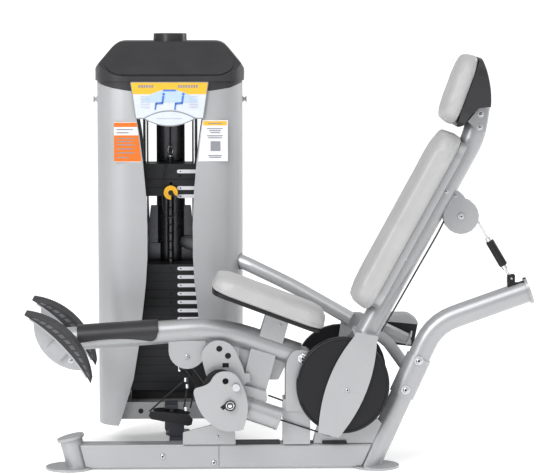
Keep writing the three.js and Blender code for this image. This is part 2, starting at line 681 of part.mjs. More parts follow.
// The strut box, its gusset, the rounded locking plate with its holes, and the side cylinder.
function armLowerFrame() {
  const strut = rounded([[-92, 412, 6], [-8, 386, 6], [-44, 256, 4], [-122, 282, 4]]);
  const locking = rounded([
    [-262, 400, 24], [-222, 446, 40], [-158, 436, 40], [-118, 350, 10], [-108, 296, 6], [-150, 262, 6],
    [-236, 300, 30]]);
  const gusset = rounded([[-22, 386, 0], [34, 370, 4], [2, 300, 6], [-34, 300, 4]]);
  const rib = polygon([[-130, 425], [-86, 412], [-100, 300], [-135, 320]]);
  const foot = rounded([
    [-150, 300, 10], [-40, 268, 4], [-38, 236, 6], [-60, 216, 10], [-150, 216, 10]]);
  const axis = CYLINDER_END.clone().sub(CAM_HUB).normalize();
  const tail = CAM_HUB.clone().addScaledVector(axis, 24).setY(CYLINDER_Y);
  const end = CYLINDER_END.clone().setY(CYLINDER_Y);
  const inside = end.clone().addScaledVector(axis, -12);
  const bore = rod(tail.clone().addScaledVector(axis, 40), inside, 31, 16);
  const [behind, ahead] = [-20, 10].map((by) => end.clone().addScaledVector(axis, by));
  const mouth = rod(behind, ahead, 15, 16);
  const drum = cut(rod(tail, end, TUBE_R, 24), bore, mouth);
  const lug = crossRod(CAM_HUB.x, CAM_HUB.z, -86, -20, 30, 14);
  const holes = join(crossRod(-198, 414, -80, 10, 10.5, 14), crossRod(-169, 390, -80, 10, 10.5, 14));
  const notch = box(-188, -166, -80, 0, 350, 366);
  const spacer = box(-150, -96, -58, -28, 300, 330);
  const whole = join(plate(strut, -34, 34), plate(locking, -60, -44), plate(gusset, -5, 5),
    plate(rib, -5, 5),
    plate(foot, -58, -20), spacer, drum, lug);
  const tubeClear = armForm(ARM_R + GAP);
  const hubBore = crossRod(CAM_HUB.x, CAM_HUB.z, -130, -60, 10 + GAP, 14);
  return largest(cut(whole, holes, notch, tubeClear, hubBore));
}

function strutCable() {
  return rod(at(-33, 0, 246), at(66, 0, 209), 2.6, 8);
}

const CAM_Y = -112;
const PLUNGER = { x: -143, z: 294 };

// The start-position cam: a plate with a lobed top that turns on the hub.
function camPlate() {
  const { x, z } = CAM_HUB;
  const shape = new THREE.Shape();
  shape.moveTo(-116, 160);
  shape.quadraticCurveTo(-86, 236, -128, 312);
  shape.quadraticCurveTo(-146, 350, -186, 346);
  shape.quadraticCurveTo(-212, 344, -226, 316);
  shape.quadraticCurveTo(-236, 298, -270, 292);
  shape.quadraticCurveTo(-290, 288, -282, 262);
  shape.quadraticCurveTo(-262, 176, -190, 148);
  shape.quadraticCurveTo(-160, 138, -118, 150);
  shape.closePath();
  const body = plate(shape, CAM_Y - 4, CAM_Y + 6, 8);
  const spare = crossRod(-178, 313, -140, -90, 10.5, 14);
  const pinHole = crossRod(PLUNGER.x, PLUNGER.z, -140, -90, 8 + GAP, 14);
  const hub = join(crossRod(x, z, CAM_Y - 16, CAM_Y + 2, 17, 20), crossRod(x, z, CAM_Y, -66, 10, 14));
  const spool = crossRod(x, z, CAM_Y + 5, -99.5, 26, 14);
  return cut(join(body, hub, spool), spare, pinHole);
}

function plunger() {
  const { x, z } = PLUNGER;
  return join(crossRod(x, z, -136, -118, 13, 14), crossRod(x, z, -120, -62, 8, 14));
}

// ---- Footplates ----

function arcPoints(radius, steps) {
  const chord = PEDAL_HEEL.clone().sub(PEDAL_TIP);
  const half = chord.length() / 2;
  const middle = PEDAL_TIP.clone().add(PEDAL_HEEL).multiplyScalar(0.5);
  const across = new THREE.Vector2(-chord.y, chord.x).normalize();
  const centre = middle.addScaledVector(across, -Math.sqrt(radius * radius - half * half));
  const start = Math.atan2(PEDAL_TIP.y - centre.y, PEDAL_TIP.x - centre.x);
  const end = Math.atan2(PEDAL_HEEL.y - centre.y, PEDAL_HEEL.x - centre.x);
  return Array.from({ length: steps + 1 }, (_, i) => {
    const turn = start + ((end - start) * i) / steps;
    return new THREE.Vector2(centre.x + radius * Math.cos(turn), centre.y + radius * Math.sin(turn));
  });
}

const TREAD_R = 248;
const SOLE_R = 600;
const PLATE_T = 5;

function footplatePad(side) {
  const top = arcPoints(TREAD_R, 18);
  const under = arcPoints(SOLE_R, 12).slice(1, -1).reverse();
  const crescent = new THREE.Shape([...top, ...under]);
  return plate(crescent, side * PEDAL_Y - PEDAL_W / 2, side * PEDAL_Y + PEDAL_W / 2);
}

// Both curved backing plates with their half-round webs, on the square bar that joins them.
function footplateFrame() {
  const sole = arcPoints(SOLE_R, 12).slice(1, -1);
  const out = PEDAL_HEEL.clone().sub(PEDAL_TIP).normalize();
  const down = new THREE.Vector2(out.y, -out.x).multiplyScalar(-1);
  const shift = (point, by) => point.clone().addScaledVector(down, -by);
  const sheet = new THREE.Shape([
    ...sole.map((p) => shift(p, GAP)), ...[...sole].reverse().map((p) => shift(p, PLATE_T))]);
  const web = new THREE.Shape();
  const centre = new THREE.Vector2(-652, 520);
  const from = Math.PI * 1.0;
  const to = Math.PI * 1.49;
  const arc = Array.from({ length: 19 }, (_, i) => {
    const turn = from + ((to - from) * i) / 18;
    return new THREE.Vector2(centre.x + 156 * Math.cos(turn), centre.y + 156 * Math.sin(turn));
  });
  web.setFromPoints([...arc, ...[...sole].reverse().slice(1, -1).map((p) => shift(p, 2))]);
  const parts = [-1, 1].flatMap((side) => {
    const y = side * PEDAL_Y;
    return [plate(sheet, y - PEDAL_W / 2, y + PEDAL_W / 2), plate(web, y - 4, y + 4)];
  });
  const bar = solid(new THREE.BoxGeometry(58, 2 * PEDAL_Y + 40, 58).rotateY(0.82)
    .translate(CROSS_BAR.x, 0, CROSS_BAR.z));
  const underside = [...sole].reverse().map((p) => shift(p, GAP));
  const above = new THREE.Shape([...arcPoints(TREAD_R, 18), ...underside]);
  const padClear = plate(above, -PEDAL_Y - PEDAL_W, PEDAL_Y + PEDAL_W);
  return cut(join(bar, ...parts), padClear, armForm(ARM_R + GAP, GAP));
}

// ---- Shaft with its cams ----

function nearCam() {
  const rim = new THREE.Shape();
  rim.absellipse(215, 292, 156, 163, 3.0, 2.42 + TURN, false);
  rim.lineTo(88, 372);
  rim.lineTo(66, 318);
  rim.closePath();
  const body = plate(rim, -82, -62, 26);
  return cut(body, crossRod(SHAFT.x, SHAFT.z, -100, -50, SHAFT_R + GAP, 14));
}

// The long shaft with the far cam fixed on its end.
function camShaft() {
  const { x, z } = SHAFT;
  return join(crossRod(x, z, 342, 366, 160, 36), crossRod(x, z, -84, 374, SHAFT_R, 14));
}

// The drive cable, straight from inside the side cylinder to the back of the near cam.
function driveCable() {
  return rod(at(-58, -57, 193), at(176, -57, 116), 2.5, 8);
}

// ---- Back frame ----

function backForm(radius) {
  const low = BACK_LOW.clone().addScaledVector(BACK_DIR, -8);
  return bentTube([low, BACK_BEND, BACK_TOP], 45, radius, 24);
}

function backFrame() {
  const below = polygon([[200, 300], [420, 300], [420, 427], [334, 450], [252, 466], [200, 476]]);
  const tube = cut(backForm(TUBE_R), plate(below, -60, 60));
  const lens = new THREE.Shape();
  lens.moveTo(257, 464);
  lens.quadraticCurveTo(140, 330, 132, 134);
  lens.lineTo(200, 116);
  lens.quadraticCurveTo(322, 262, 328, 449);
  lens.closePath();
  const fork = join(plate(lens, -94, -86, 12), plate(lens, 58, 66, 12));
  const yoke = rounded([[252, 459, 4], [330, 444, 4], [334, 458, 6], [257, 473, 6]]);
  const bore = crossRod(SHAFT.x, SHAFT.z, 0, 100, SHAFT_R + GAP, 14);
  const socket = crossRod(SHAFT.x, SHAFT.z, -88, -80, SHAFT_R + GAP, 14);
  const cheek = rounded([[630, 1172, 0], [668, 1216, 0], [700, 1216, 0], [690, 1138, 4], [668, 1140, 4]]);
  const cheeks = join(plate(cheek, -44, -36), plate(cheek, 36, 44));
  return cut(join(tube, fork, plate(yoke, -94, 66), cheeks), bore, socket);
}

const BACK = { x: 232.7, z: 573.5, rise: 1.073, length: 664, width: 300, thick: 72, board: 24 };

function backPlaced(geometry) {
  return placed(geometry, BACK.x, BACK.z, BACK.rise);
}

function backPad() {
  const geometry = padForm(BACK.length, BACK.width, BACK.thick, 60, 30);
  return backPlaced(geometry.translate(0, 0, -BACK.thick));
}

function backBoard() {
  const shape = roundedBox(24, BACK.length - 16, -BACK.width / 2 + 26, BACK.width / 2 - 26, 60);
  const geometry = new THREE.ExtrudeGeometry(shape, {
    depth: BACK.board, bevelEnabled: false, curveSegments: 5,
  });
  geometry.translate(0, 0, -BACK.thick - BACK.board - GAP);
  return largest(cut(backPlaced(geometry), backForm(TUBE_R + GAP)));
}

const HEAD = { x: 530, z: 1174.7, rise: 1.222, length: 248, width: 250, thick: 56 };

function headPad() {
  const geometry = padForm(HEAD.length, HEAD.width, HEAD.thick, 60, 20);
  return placed(geometry.translate(0, 0, -HEAD.thick), HEAD.x, HEAD.z, HEAD.rise);
}

// The moulded shell behind the head pad, over the tube's top.
function headShell() {
  const side = new THREE.Shape();
  side.moveTo(588, 1150);
  side.lineTo(612, 1162);
  side.quadraticCurveTo(634, 1204, 664, 1221);
  side.lineTo(700, 1223);
  side.quadraticCurveTo(707, 1300, 669, 1394);
  side.lineTo(648, 1401);
  side.closePath();
  const back = new THREE.ExtrudeGeometry(roundedBox(4, HEAD.length - 4, -110, 110, 56), {
    depth: 170, bevelEnabled: false, curveSegments: 5,
  });
  const plan = placed(back.translate(0, 0, -HEAD.thick - GAP - 170), HEAD.x, HEAD.z, HEAD.rise);
  const tubeClear = backForm(TUBE_R + GAP);
  const top = box(600, 720, -44.4, 44.4, 1120, 1229);
  return largest(cut(meet(plate(side, -118, 118, 8), plan), tubeClear, top));
}

function backPulleyGuard() {
  const { x, z } = BACK_PULLEY;
  const cheek = new THREE.Shape();
  cheek.moveTo(x - 24, z + 84);
  cheek.quadraticCurveTo(x - 4, z + 88, x + 12, z + 64);
  cheek.absarc(x, z, 60, 1.35, Math.PI - 0.1 - TURN, true);
  cheek.lineTo(x - 40, z + 70);
  cheek.closePath();
  const cheeks = join(plate(cheek, -22, -16, 7), plate(cheek, 16, 22, 7));
  const lug = crossRod(x - 18, z + 70, -22, 22, 8, 12);
  const axle = crossRod(x, z, -27, 27, 8, 14);
  const tubeClear = backForm(TUBE_R + GAP);
  return cut(join(cheeks, lug, axle), tubeClear);
}

// The cable over the back pulley and down behind the tube to the near cam.
function backCable() {
  const { x, z } = BACK_PULLEY;
  const radius = 42;
  const over = Array.from({ length: 9 }, (_, i) => {
    const turn = 0.55 + (i / 8) * 2.05;
    return at(x + radius * Math.cos(turn), 0, z + radius * Math.sin(turn));
  });
  const down = [at(541, -4, 803), at(471, -25, 684), at(399, -50, 563), at(343, -70, 471)];
  return pipe(new THREE.CatmullRomCurve3([...over, ...down]), 2.6, 8, 24);
}

// ---- Link from the back pulley to the frame ----

function tensionLink() {
  const up = at(-114, 0, 194).normalize();
  const point = (t) => LINK_PIN.clone().addScaledVector(up, t);
  const { x, z } = LINK_PIN;
  const eye = cut(crossRod(x, z, -7.5, 7.5, 11, 20), crossRod(x, z, -10, 10, 5, 12));
  const shank = rod(point(9), point(44), 5, 12);
  const turnbuckle = rod(point(36), point(158), 10, 16);
  return join(eye, shank, turnbuckle, rod(point(150), point(222), 4, 12));
}

// ---- Floor pulleys and lower cables ----

function floorPulley() {
  const profile = [[9, -9], [66, -9], [57, -3], [57, 3], [66, 9], [9, 9], [9, -9]]
    .map(([r, h]) => new THREE.Vector2(r, h));
  const wheel = new THREE.LatheGeometry(profile, 22).rotateX(Math.PI / 2);
  return solid(wheel.rotateY(0.1).translate(-362, 150, 158));
}

function floorBracket() {
  const post = box(-372, -318, 118, 182, BEAM.z1 + GAP, 138);
  const fork = join(box(-384, -340, 222, 238, BEAM.z1 + GAP, 190), box(-384, -340, 140, 238, 176, 190));
  const lower = box(-384, -330, 118, 238, 110, 138);
  const axle = rod(at(-366.2, 150, 116), at(-359, 150, 188), 8.4, 14);
  return join(post, fork, lower, axle);
}

// The cables between the arm pulley, the tilted block and the floor pulley, with that block.
function lowerCables() {
  const block = rounded([[-312, 326, 6], [-292, 336, 6], [-248, 276, 6], [-266, 256, 6]]);
  const strands = [
    [at(-340, 15, 424), at(-331, 15, 334)], [at(-331, 15, 334), at(-299, 62, 312)],
    [at(-324, 15, 424), at(-313, 15, 330)], [at(-313, 15, 330), at(-284, 62, 300)],
    [at(-299, 62, 312), at(-318, 132, 183)], [at(-276, 62, 282), at(-296, 140, 181)],
    [at(-436, 138, 170), at(-297, 62, 306)],
  ].map(([from, to]) => rod(from, to, 2.6, 8));
  return join(plate(block, 48, 76), ...strands);
}

const BASE = [
  ['base_beam', 'frame', () => largest(baseBeam())],
  ['front_foot', 'frame', frontFoot],
  ['front_cap', 'frame', frontCap],
  ['rear_foot', 'frame', rearFoot],
  ['rear_sleeve', 'frame', () => sleeve(rearAxis(0.503), rearAxis(0.77), TUBE_R + 2 * GAP, 43)],
  ['rear_upright', 'frame', rearUpright],
  ['pivot_post', 'frame', pivotPost],
  ['arm_pivot_pin', 'chrome', armPivotPin],
  ['shaft_stand', 'frame', shaftStand],
  ['tie_frame', 'frame', tieFrame],
  ['side_cover', 'black_plastic', sideCover],
  ['cable_bracket', 'frame', cableBracket],
  ['tower_base', 'frame', towerBase],
  ['cross_tube', 'dark_frame', crossTube],
  ['shroud_left', 'shroud', () => shroud(-1)],
  ['shroud_right', 'shroud', () => shroud(1)],
  ['top_cap', 'dark_plastic', topCap],
  ['placard', 'placard', placard],
  ['mast', 'steel_black', mast],
  ['guide_rods', 'chrome', guideRods],
  ['drive_cable', 'cable', driveCable],
  ['lower_cables', 'cable', lowerCables],
  ['stack_cushion', 'rubber', stackCushion],
  ['floor_bracket', 'dark_frame', floorBracket],
];

const machine = new THREE.Group();

function addBody(pivot, pieces) {
  const group = new THREE.Group();
  group.position.copy(pivot);
  machine.add(group);
  machine.updateMatrixWorld(true);
  for (const [name, look, make] of pieces) {
    group.attach(meshOf(name, look, make()));
  }
}

addBody(new THREE.Vector3(), BASE);

const lowerPlates = STACK.plates - STACK.loose;
const stackPieces = [['stack_block', 'steel_black', () => weights(STACK.z0, lowerPlates)]];
for (let i = 0; i < STACK.loose; i += 1) {
  const z0 = STACK.z0 + (lowerPlates + i) * STACK.pitch;
  stackPieces.push([`stack_plate_${STACK.loose - i}`, 'steel_black', () => weights(z0, 1)]);
}
addBody(new THREE.Vector3(), stackPieces);

addBody(at(TOWER.x, 500, HEAD_Z), [
  ['head_plate', 'steel_black', headPlate],
  ['addon_plate_upper', 'steel_black', () => addOnPlate(HEAD_Z - 30)],
  ['addon_plate_lower', 'steel_black', () => addOnPlate(HEAD_Z - 60)],
  ['selector_stem', 'chrome', selectorStem],
  ['lift_cable', 'cable', liftCable],
  ['pin_lanyard', 'cable', () => pipe(lanyardPath(), 2, 8, 34)],
  ['selector_pin', 'yellow', selectorPin],
]);

addBody(ARM_PIVOT, [
  ['arm_tube', 'frame', armTube],
  ['arm_cover', 'dark_plastic', armCover],
  ['seat_bracket', 'frame', seatBracket],
  ['seat_board', 'black_plastic', seatBoard],
  ['seat_pad', 'vinyl', seatPad],
  ['arm_pulley_guard', 'frame', armPulleyGuard],
  ['arm_pulley', 'black_plastic', () => pulley(ARM_PULLEY, 0, ARM_PULLEY_R, 18, 31, 8.4)],
  ['arm_lower_frame', 'frame', armLowerFrame],
  ['strut_cable', 'cable', strutCable],
  ['cam_plate', 'frame', camPlate],
  ['plunger', 'chrome', plunger],
  ['footplate_frame', 'frame', footplateFrame],
  ['footplate_near', 'rubber', () => footplatePad(-1)],
  ['footplate_far', 'rubber', () => footplatePad(1)],
]);

addBody(SHAFT, [
  ['near_cam', 'black_plastic', nearCam],
  ['cam_shaft', 'black_plastic', camShaft],
]);

addBody(SHAFT, [
  ['back_frame', 'frame', backFrame],
  ['back_board', 'frame', backBoard],
  ['back_pad', 'vinyl', backPad],
  ['head_pad', 'vinyl', headPad],
  ['head_shell', 'dark_plastic', headShell],
  ['back_pulley_guard', 'frame', backPulleyGuard],
  ['back_pulley', 'black_plastic', () => pulley(BACK_PULLEY, 0, PULLEY_R, 20, 36, 8.4)],
  ['back_cable', 'cable', backCable],
]);

addBody(LINK_PIN, [['tension_link', 'chrome', tensionLink]]);
addBody(new THREE.Vector3(), [['floor_pulley', 'black_plastic', floorPulley]]);

// The origin is the middle of the object's box, on the floor.
machine.updateMatrixWorld(true);
const extent = new THREE.Box3().setFromObject(machine);
const middle = extent.getCenter(new THREE.Vector3());
machine.position.set(-middle.x, -middle.y, -extent.min.z);

export default machine;
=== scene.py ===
"""Looks of a seated leg machine with a weight-stack tower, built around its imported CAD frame.

Lengths are metres. D(x, y, z) takes millimetres on the drawing the CAD was made from.
"""
import json
import math

import bmesh
import bpy
from mathutils import Matrix, Vector
from mathutils.bvhtree import BVHTree


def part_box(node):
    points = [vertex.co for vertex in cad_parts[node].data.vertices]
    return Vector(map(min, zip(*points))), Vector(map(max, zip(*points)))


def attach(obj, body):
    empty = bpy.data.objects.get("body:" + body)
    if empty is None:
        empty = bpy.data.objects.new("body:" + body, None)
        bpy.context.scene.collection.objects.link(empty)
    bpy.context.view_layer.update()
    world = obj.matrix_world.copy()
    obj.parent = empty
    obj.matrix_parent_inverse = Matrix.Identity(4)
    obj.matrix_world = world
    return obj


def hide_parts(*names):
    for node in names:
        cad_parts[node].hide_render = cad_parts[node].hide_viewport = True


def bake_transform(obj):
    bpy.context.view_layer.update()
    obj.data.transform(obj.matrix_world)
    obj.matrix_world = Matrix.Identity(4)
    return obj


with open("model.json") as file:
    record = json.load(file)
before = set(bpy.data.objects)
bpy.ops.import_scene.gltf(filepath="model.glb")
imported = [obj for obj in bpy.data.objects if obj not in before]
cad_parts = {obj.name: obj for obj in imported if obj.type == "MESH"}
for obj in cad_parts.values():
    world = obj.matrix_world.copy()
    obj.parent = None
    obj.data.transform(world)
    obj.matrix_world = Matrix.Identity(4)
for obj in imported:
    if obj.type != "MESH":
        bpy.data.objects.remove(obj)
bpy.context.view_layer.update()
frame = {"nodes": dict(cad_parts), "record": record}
scene = bpy.context.scene

MM, HALF_MM = 0.001, 0.0005
OUTWARD = (0, -1, 0)
SHARP_DEGREES = 35.0

# The drawing's origin in the frame, from the guide rods' place on both.
TOWER_X, RODS_Y = -366, 521
rods_low, rods_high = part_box("guide_rods")
SHIFT = Vector(((rods_low.x + rods_high.x) / 2 - TOWER_X * MM,
                (rods_low.y + rods_high.y) / 2 - RODS_Y * MM, 0.0))


def D(x, y, z):
    """A point of the drawing, in millimetres, as a point of the frame."""
    return Vector((x, y, z)) * MM + SHIFT


# ---- Camera ----

camera = bpy.data.objects.new("camera", bpy.data.cameras.new("camera"))
scene.collection.objects.link(camera)
camera.location = D(-251.3, -8467.8, 1673.4)
camera.rotation_euler = (math.radians(84.0), 0.0, math.radians(-1.7))
camera.data.lens = 164.46
camera.data.sensor_width = 36.0
camera.data.clip_end = 500.0
scene.camera = camera

# ---- Mesh helpers ----


def finish_mesh(name, bm, materials, body=None, sharp=SHARP_DEGREES):
    """Turns a bmesh into an object that rides on a body."""
    bmesh.ops.recalc_face_normals(bm, faces=bm.faces)
    mesh = bpy.data.meshes.new(name)
    bm.to_mesh(mesh)
    bm.free()
    for material in materials:
        mesh.materials.append(material)
    mesh.shade_smooth()
    mesh.set_sharp_from_angle(angle=math.radians(sharp))
    piece = bpy.data.objects.new(name, mesh)
    scene.collection.objects.link(piece)
    if body:
        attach(piece, body)
    return piece


def circle(steps):
    """Evenly spaced turns round a circle, in radians."""
    return [2 * math.pi * k / steps for k in range(steps)]


def lathe(bm, origin, axis, profile, segments=20, mat=0, hexed=()):
    """Revolves (radius, height) pairs about an axis; rings numbered in hexed are six-sided."""
    sixth = math.pi / 3
    up = Vector(axis).normalized()
    side = up.orthogonal().normalized()
    other = up.cross(side)
    rings = []
    for number, (radius, height) in enumerate(profile):
        foot = origin + up * height
        if radius < 1e-6:
            rings.append([bm.verts.new(foot)])
            continue
        ring = []
        for turn in circle(segments):
            reach = radius
            if number in hexed:
                reach *= math.cos(sixth / 2) / math.cos(turn % sixth - sixth / 2)
            out = side * math.cos(turn) + other * math.sin(turn)
            ring.append(bm.verts.new(foot + out * reach))
        rings.append(ring)
    for low, high in zip(rings, rings[1:]):
        for k in range(segments):
            corners = [low[k % len(low)], low[(k + 1) % len(low)],
                       high[(k + 1) % len(high)], high[k % len(high)]]
            unique = list(dict.fromkeys(corners))
            if len(unique) > 2:
                bm.faces.new(unique).material_index = mat


def tube(bm, points, radius, sides=10, closed=False, mat=0):
    """Sweeps a round section along points without twisting it."""
    count = len(points)
    rings = []
    normal = None
    for i, point in enumerate(points):
        before = points[(i - 1) % count] if closed or i else points[0]
        after = points[(i + 1) % count] if closed or i < count - 1 else points[-1]
        along = (after - before).normalized()
        if normal is None:
            normal = along.orthogonal().normalized()
        normal = (normal - along * normal.dot(along)).normalized()
        other = along.cross(normal)
        outs = [normal * math.cos(turn) + other * math.sin(turn) for turn in circle(sides)]
        rings.append([bm.verts.new(point + out * radius) for out in outs])
    pairs = list(zip(rings, rings[1:]))
    if closed:
        last = rings[-1][0].co
        shift = min(range(sides), key=lambda s: (last - rings[0][s].co).length)
        pairs.append((rings[-1], rings[0][shift:] + rings[0][:shift]))
    else:
        for end in (rings[0], rings[-1]):
            bm.faces.new(end).material_index = mat
    for a, b in pairs:
        for k in range(sides):
            n = (k + 1) % sides
            bm.faces.new([a[k], a[n], b[n], b[k]]).material_index = mat


def slab(bm, outline, place, depth, mat=0, bevel=0.0):
    """A flat plate: place(u, v, w) puts the outline's points at w 0 and w depth."""
    lows = [bm.verts.new(place(u, v, 0.0)) for u, v in outline]
    highs = [bm.verts.new(place(u, v, depth)) for u, v in outline]
    faces = [bm.faces.new(lows[::-1]), bm.faces.new(highs)]
    for k in range(len(outline)):
        n = (k + 1) % len(outline)
        faces.append(bm.faces.new([lows[k], lows[n], highs[n], highs[k]]))
    for face in faces:
        face.material_index = mat
    if bevel:
        bmesh.ops.bevel(bm, geom=list(faces[1].edges), offset=bevel, segments=2, affect="EDGES",
                        clamp_overlap=True)


def along_y(y, way):
    """A slab's place in the drawing's XZ plane at Y y; its depth grows along way, +1 or -1."""
    return lambda u, v, w: D(u, y, v) + Vector((0, way * w, 0))


def rounded_rect(u0, u1, v0, v1, r, steps):
    """The outline of a rectangle with round corners, steps segments to each."""
    points = []
    for cu, cv, start in ((u1 - r, v0 + r, -90), (u1 - r, v1 - r, 0),
                          (u0 + r, v1 - r, 90), (u0 + r, v0 + r, 180)):
        for i in range(steps + 1):
            turn = math.radians(start + 90.0 * i / steps)
            points.append((cu + r * math.cos(turn), cv + r * math.sin(turn)))
    return points


def arc(cx, cz, radius, start, end, steps):
    """Points of an arc between two angles in degrees."""
    turns = [math.radians(start + (end - start) * i / steps) for i in range(steps + 1)]
    return [(cx + radius * math.cos(t), cz + radius * math.sin(t)) for t in turns]


def bolt(bm, at, axis, size, washer=True, mat=0, dark=None):
    """A button-head screw with a hex socket, on a washer; at is on the face it clamps. The dark
    disc on the socket's floor is painted shade.
    """
    def turned(profile, foot, segments, look, hexed=()):
        lathe(bm, at, axis, [(r * size, (foot + h) * size) for r, h in profile],
              segments, look, hexed)

    foot = 0.0
    if washer:
        turned([(0, 0), (1.55, 0), (1.62, 0.06), (1.55, 0.2), (0.9, 0.22), (0, 0.22)], 0.0, 24, mat)
        foot = 0.2
    turned([(0, 0), (1, 0), (1, 0.12), (0.9, 0.42), (0.66, 0.6), (0.44, 0.64), (0.4, 0.62),
            (0.36, 0.3), (0, 0.3)], foot, 24, mat, hexed=(6, 7))
    if dark is not None:
        turned([(0, 0.31), (0.33, 0.31), (0.33, 0.33), (0, 0.33)], foot, 12, dark)


# ---- Materials ----

WHITE, BLACK = (1, 1, 1), (0, 0, 0)


class Nodes:
    """A short way to wire a material's nodes."""

    def __init__(self, name):
        self.material = bpy.data.materials.new(name)
        self.material.use_nodes = True
        self.tree = self.material.node_tree
        self.shader = self.tree.nodes["Principled BSDF"]
        self.place = self.add("ShaderNodeTexCoord").outputs["Object"]

    def add(self, kind, **settings):
        node = self.tree.nodes.new(kind)
        for key, value in settings.items():
            setattr(node, key, value)
        return node

    def link(self, source, target):
        self.tree.links.new(source, target)

    def noise(self, scale, detail=3.0, rough=0.55, stretch=None):
        node = self.add("ShaderNodeTexNoise")
        node.inputs["Scale"].default_value = scale
        node.inputs["Detail"].default_value = detail
        node.inputs["Roughness"].default_value = rough
        self.link(self.stretched(stretch), node.inputs["Vector"])
        return node.outputs["Fac"]

    def cells(self, scale):
        node = self.add("ShaderNodeTexVoronoi", feature="F1")
        node.inputs["Scale"].default_value = scale
        self.link(self.place, node.inputs["Vector"])
        return node.outputs["Distance"]

    def stretched(self, stretch):
        if stretch is None:
            return self.place
        node = self.add("ShaderNodeMapping")
        node.inputs["Scale"].default_value = stretch
        self.link(self.place, node.inputs["Vector"])
        return node.outputs["Vector"]

    def ramp(self, source, low, high, a, b):
        """Colour a where the source is at low, b where it is at high."""
        node = self.add("ShaderNodeValToRGB")
        for stop, position, color in zip(node.color_ramp.elements, (low, high), (a, b)):
            stop.position = position
            stop.color = (*color, 1.0)
        self.link(source, node.inputs["Fac"])
        return node.outputs["Color"]

    def span(self, source, low, high):
        """Stretches a source from 0 to 1 over low to high."""
        node = self.add("ShaderNodeMapRange")
        node.inputs["To Min"].default_value = low
        node.inputs["To Max"].default_value = high
        self.link(source, node.inputs["Value"])
        return node.outputs["Result"]

    def blend(self, a, b, share=None, amount=0.5, mode="MIX"):
        node = self.add("ShaderNodeMix", data_type="RGBA", blend_type=mode)
        node.inputs[0].default_value = amount
        if share is not None:
            self.link(share, node.inputs[0])
        for value, socket in ((a, node.inputs[6]), (b, node.inputs[7])):
            if isinstance(value, tuple):
                socket.default_value = (*value, 1.0)
            else:
                self.link(value, socket)
        return node.outputs[2]

    def wear(self, radius=0.0013):
        """High on the worn edges, where a rounded normal parts from the face's own."""
        rounded = self.add("ShaderNodeBevel", samples=4)
        rounded.inputs["Radius"].default_value = radius
        facing = self.add("ShaderNodeVectorMath", operation="DOT_PRODUCT")
        self.link(rounded.outputs["Normal"], facing.inputs[0])
        self.link(self.add("ShaderNodeNewGeometry").outputs["Normal"], facing.inputs[1])
        return self.ramp(facing.outputs["Value"], 0.80, 0.985, WHITE, BLACK)

    def mottled(self, scale, detail, low, high, color, dark, light=1.0):
        """The colour between its dark and light shares, in noise of the given scale."""
        shades = [tuple(c * share for c in color) for share in (dark, light)]
        return self.ramp(self.noise(scale, detail), low, high, *shades)

    def scuffed(self, base, worn, scale):
        """Shows the worn colour in patches along the edges."""
        return self.blend(base, worn, self.blend(BLACK, self.wear(), self.noise(scale, 3)))

    def bump(self, heights):
        """heights: (source, strength, distance) triples, coarse first."""
        normal = None
        for source, strength, distance in heights:
            node = self.add("ShaderNodeBump")
            node.inputs["Strength"].default_value = strength
            node.inputs["Distance"].default_value = distance
            self.link(source, node.inputs["Height"])
            if normal is not None:
                self.link(normal, node.inputs["Normal"])
            normal = node.outputs["Normal"]
        self.link(normal, self.shader.inputs["Normal"])

    def end(self, color, rough, metal=0.0, **sockets):
        """Links the colour and roughness and sets the shader's own sockets."""
        self.link(color, self.shader.inputs["Base Color"])
        if isinstance(rough, float):
            self.shader.inputs["Roughness"].default_value = rough
        else:
            self.link(rough, self.shader.inputs["Roughness"])
        self.shader.inputs["Metallic"].default_value = metal
        for key, value in sockets.items():
            self.shader.inputs[key.replace("_", " ")].default_value = value
        return self.material


def coat(name, color, rough, metal, worn, flake=0.06, gloss=0.25):
    """A powder coat: metallic flake, a slight orange peel, handling marks, worn edges."""
    n = Nodes(name)
    flakes = n.mottled(1400, 2, 0.35, 0.65, color, 1 - flake, 1 + flake)
    cloud = n.mottled(3.0, 4, 0.3, 0.7, WHITE, 0.93)
    base = n.blend(flakes, cloud, amount=1.0, mode="MULTIPLY")
    base = n.scuffed(base, worn, 60)
    peel, sparkle, handling = n.noise(260, 2), n.noise(1500, 1), n.noise(35, 4)
    n.bump([(peel, 0.05, 0.0006), (sparkle, 0.03, 0.0002)])
    return n.end(base, n.span(handling, rough - 0.05, rough + 0.07), metal,
                 Coat_Weight=gloss, Coat_Roughness=0.25)


def plastic(name, color, rough, worn=(0.25, 0.25, 0.26), coat_weight=0.0):
    """Moulded plastic with a spark-eroded grain and faint scuffs."""
    n = Nodes(name)
    base = n.scuffed(n.mottled(14, 5, 0.3, 0.75, color, 0.86, 1.12), worn, 90)
    n.bump([(n.noise(900, 2), 0.16, 0.0004)])
    return n.end(base, n.span(n.noise(50, 4), rough - 0.06, rough + 0.08), Coat_Weight=coat_weight)


def vinyl_material():
    """Light grey upholstery vinyl: a fine pebble grain, a soft sheen and faint shade changes."""
    n = Nodes("vinyl")
    base = n.ramp(n.noise(9, 4), 0.3, 0.7, (0.447, 0.447, 0.446), (0.50, 0.50, 0.498))
    pebbles = n.cells(620)
    pores = n.ramp(pebbles, 0.0, 0.5, WHITE, (0.93, 0.93, 0.93))
    base = n.blend(base, pores, amount=1.0, mode="MULTIPLY")
    creases, skin = n.noise(38, 5, 0.6, (1.0, 2.4, 1.0)), n.noise(2300, 1)
    n.bump([(creases, 0.10, 0.004), (pebbles, 0.22, 0.0005), (skin, 0.06, 0.0002)])
    return n.end(base, n.span(n.noise(24, 3), 0.40, 0.55), Sheen_Weight=0.15, Sheen_Roughness=0.5,
                 Coat_Weight=0.12, Coat_Roughness=0.4)


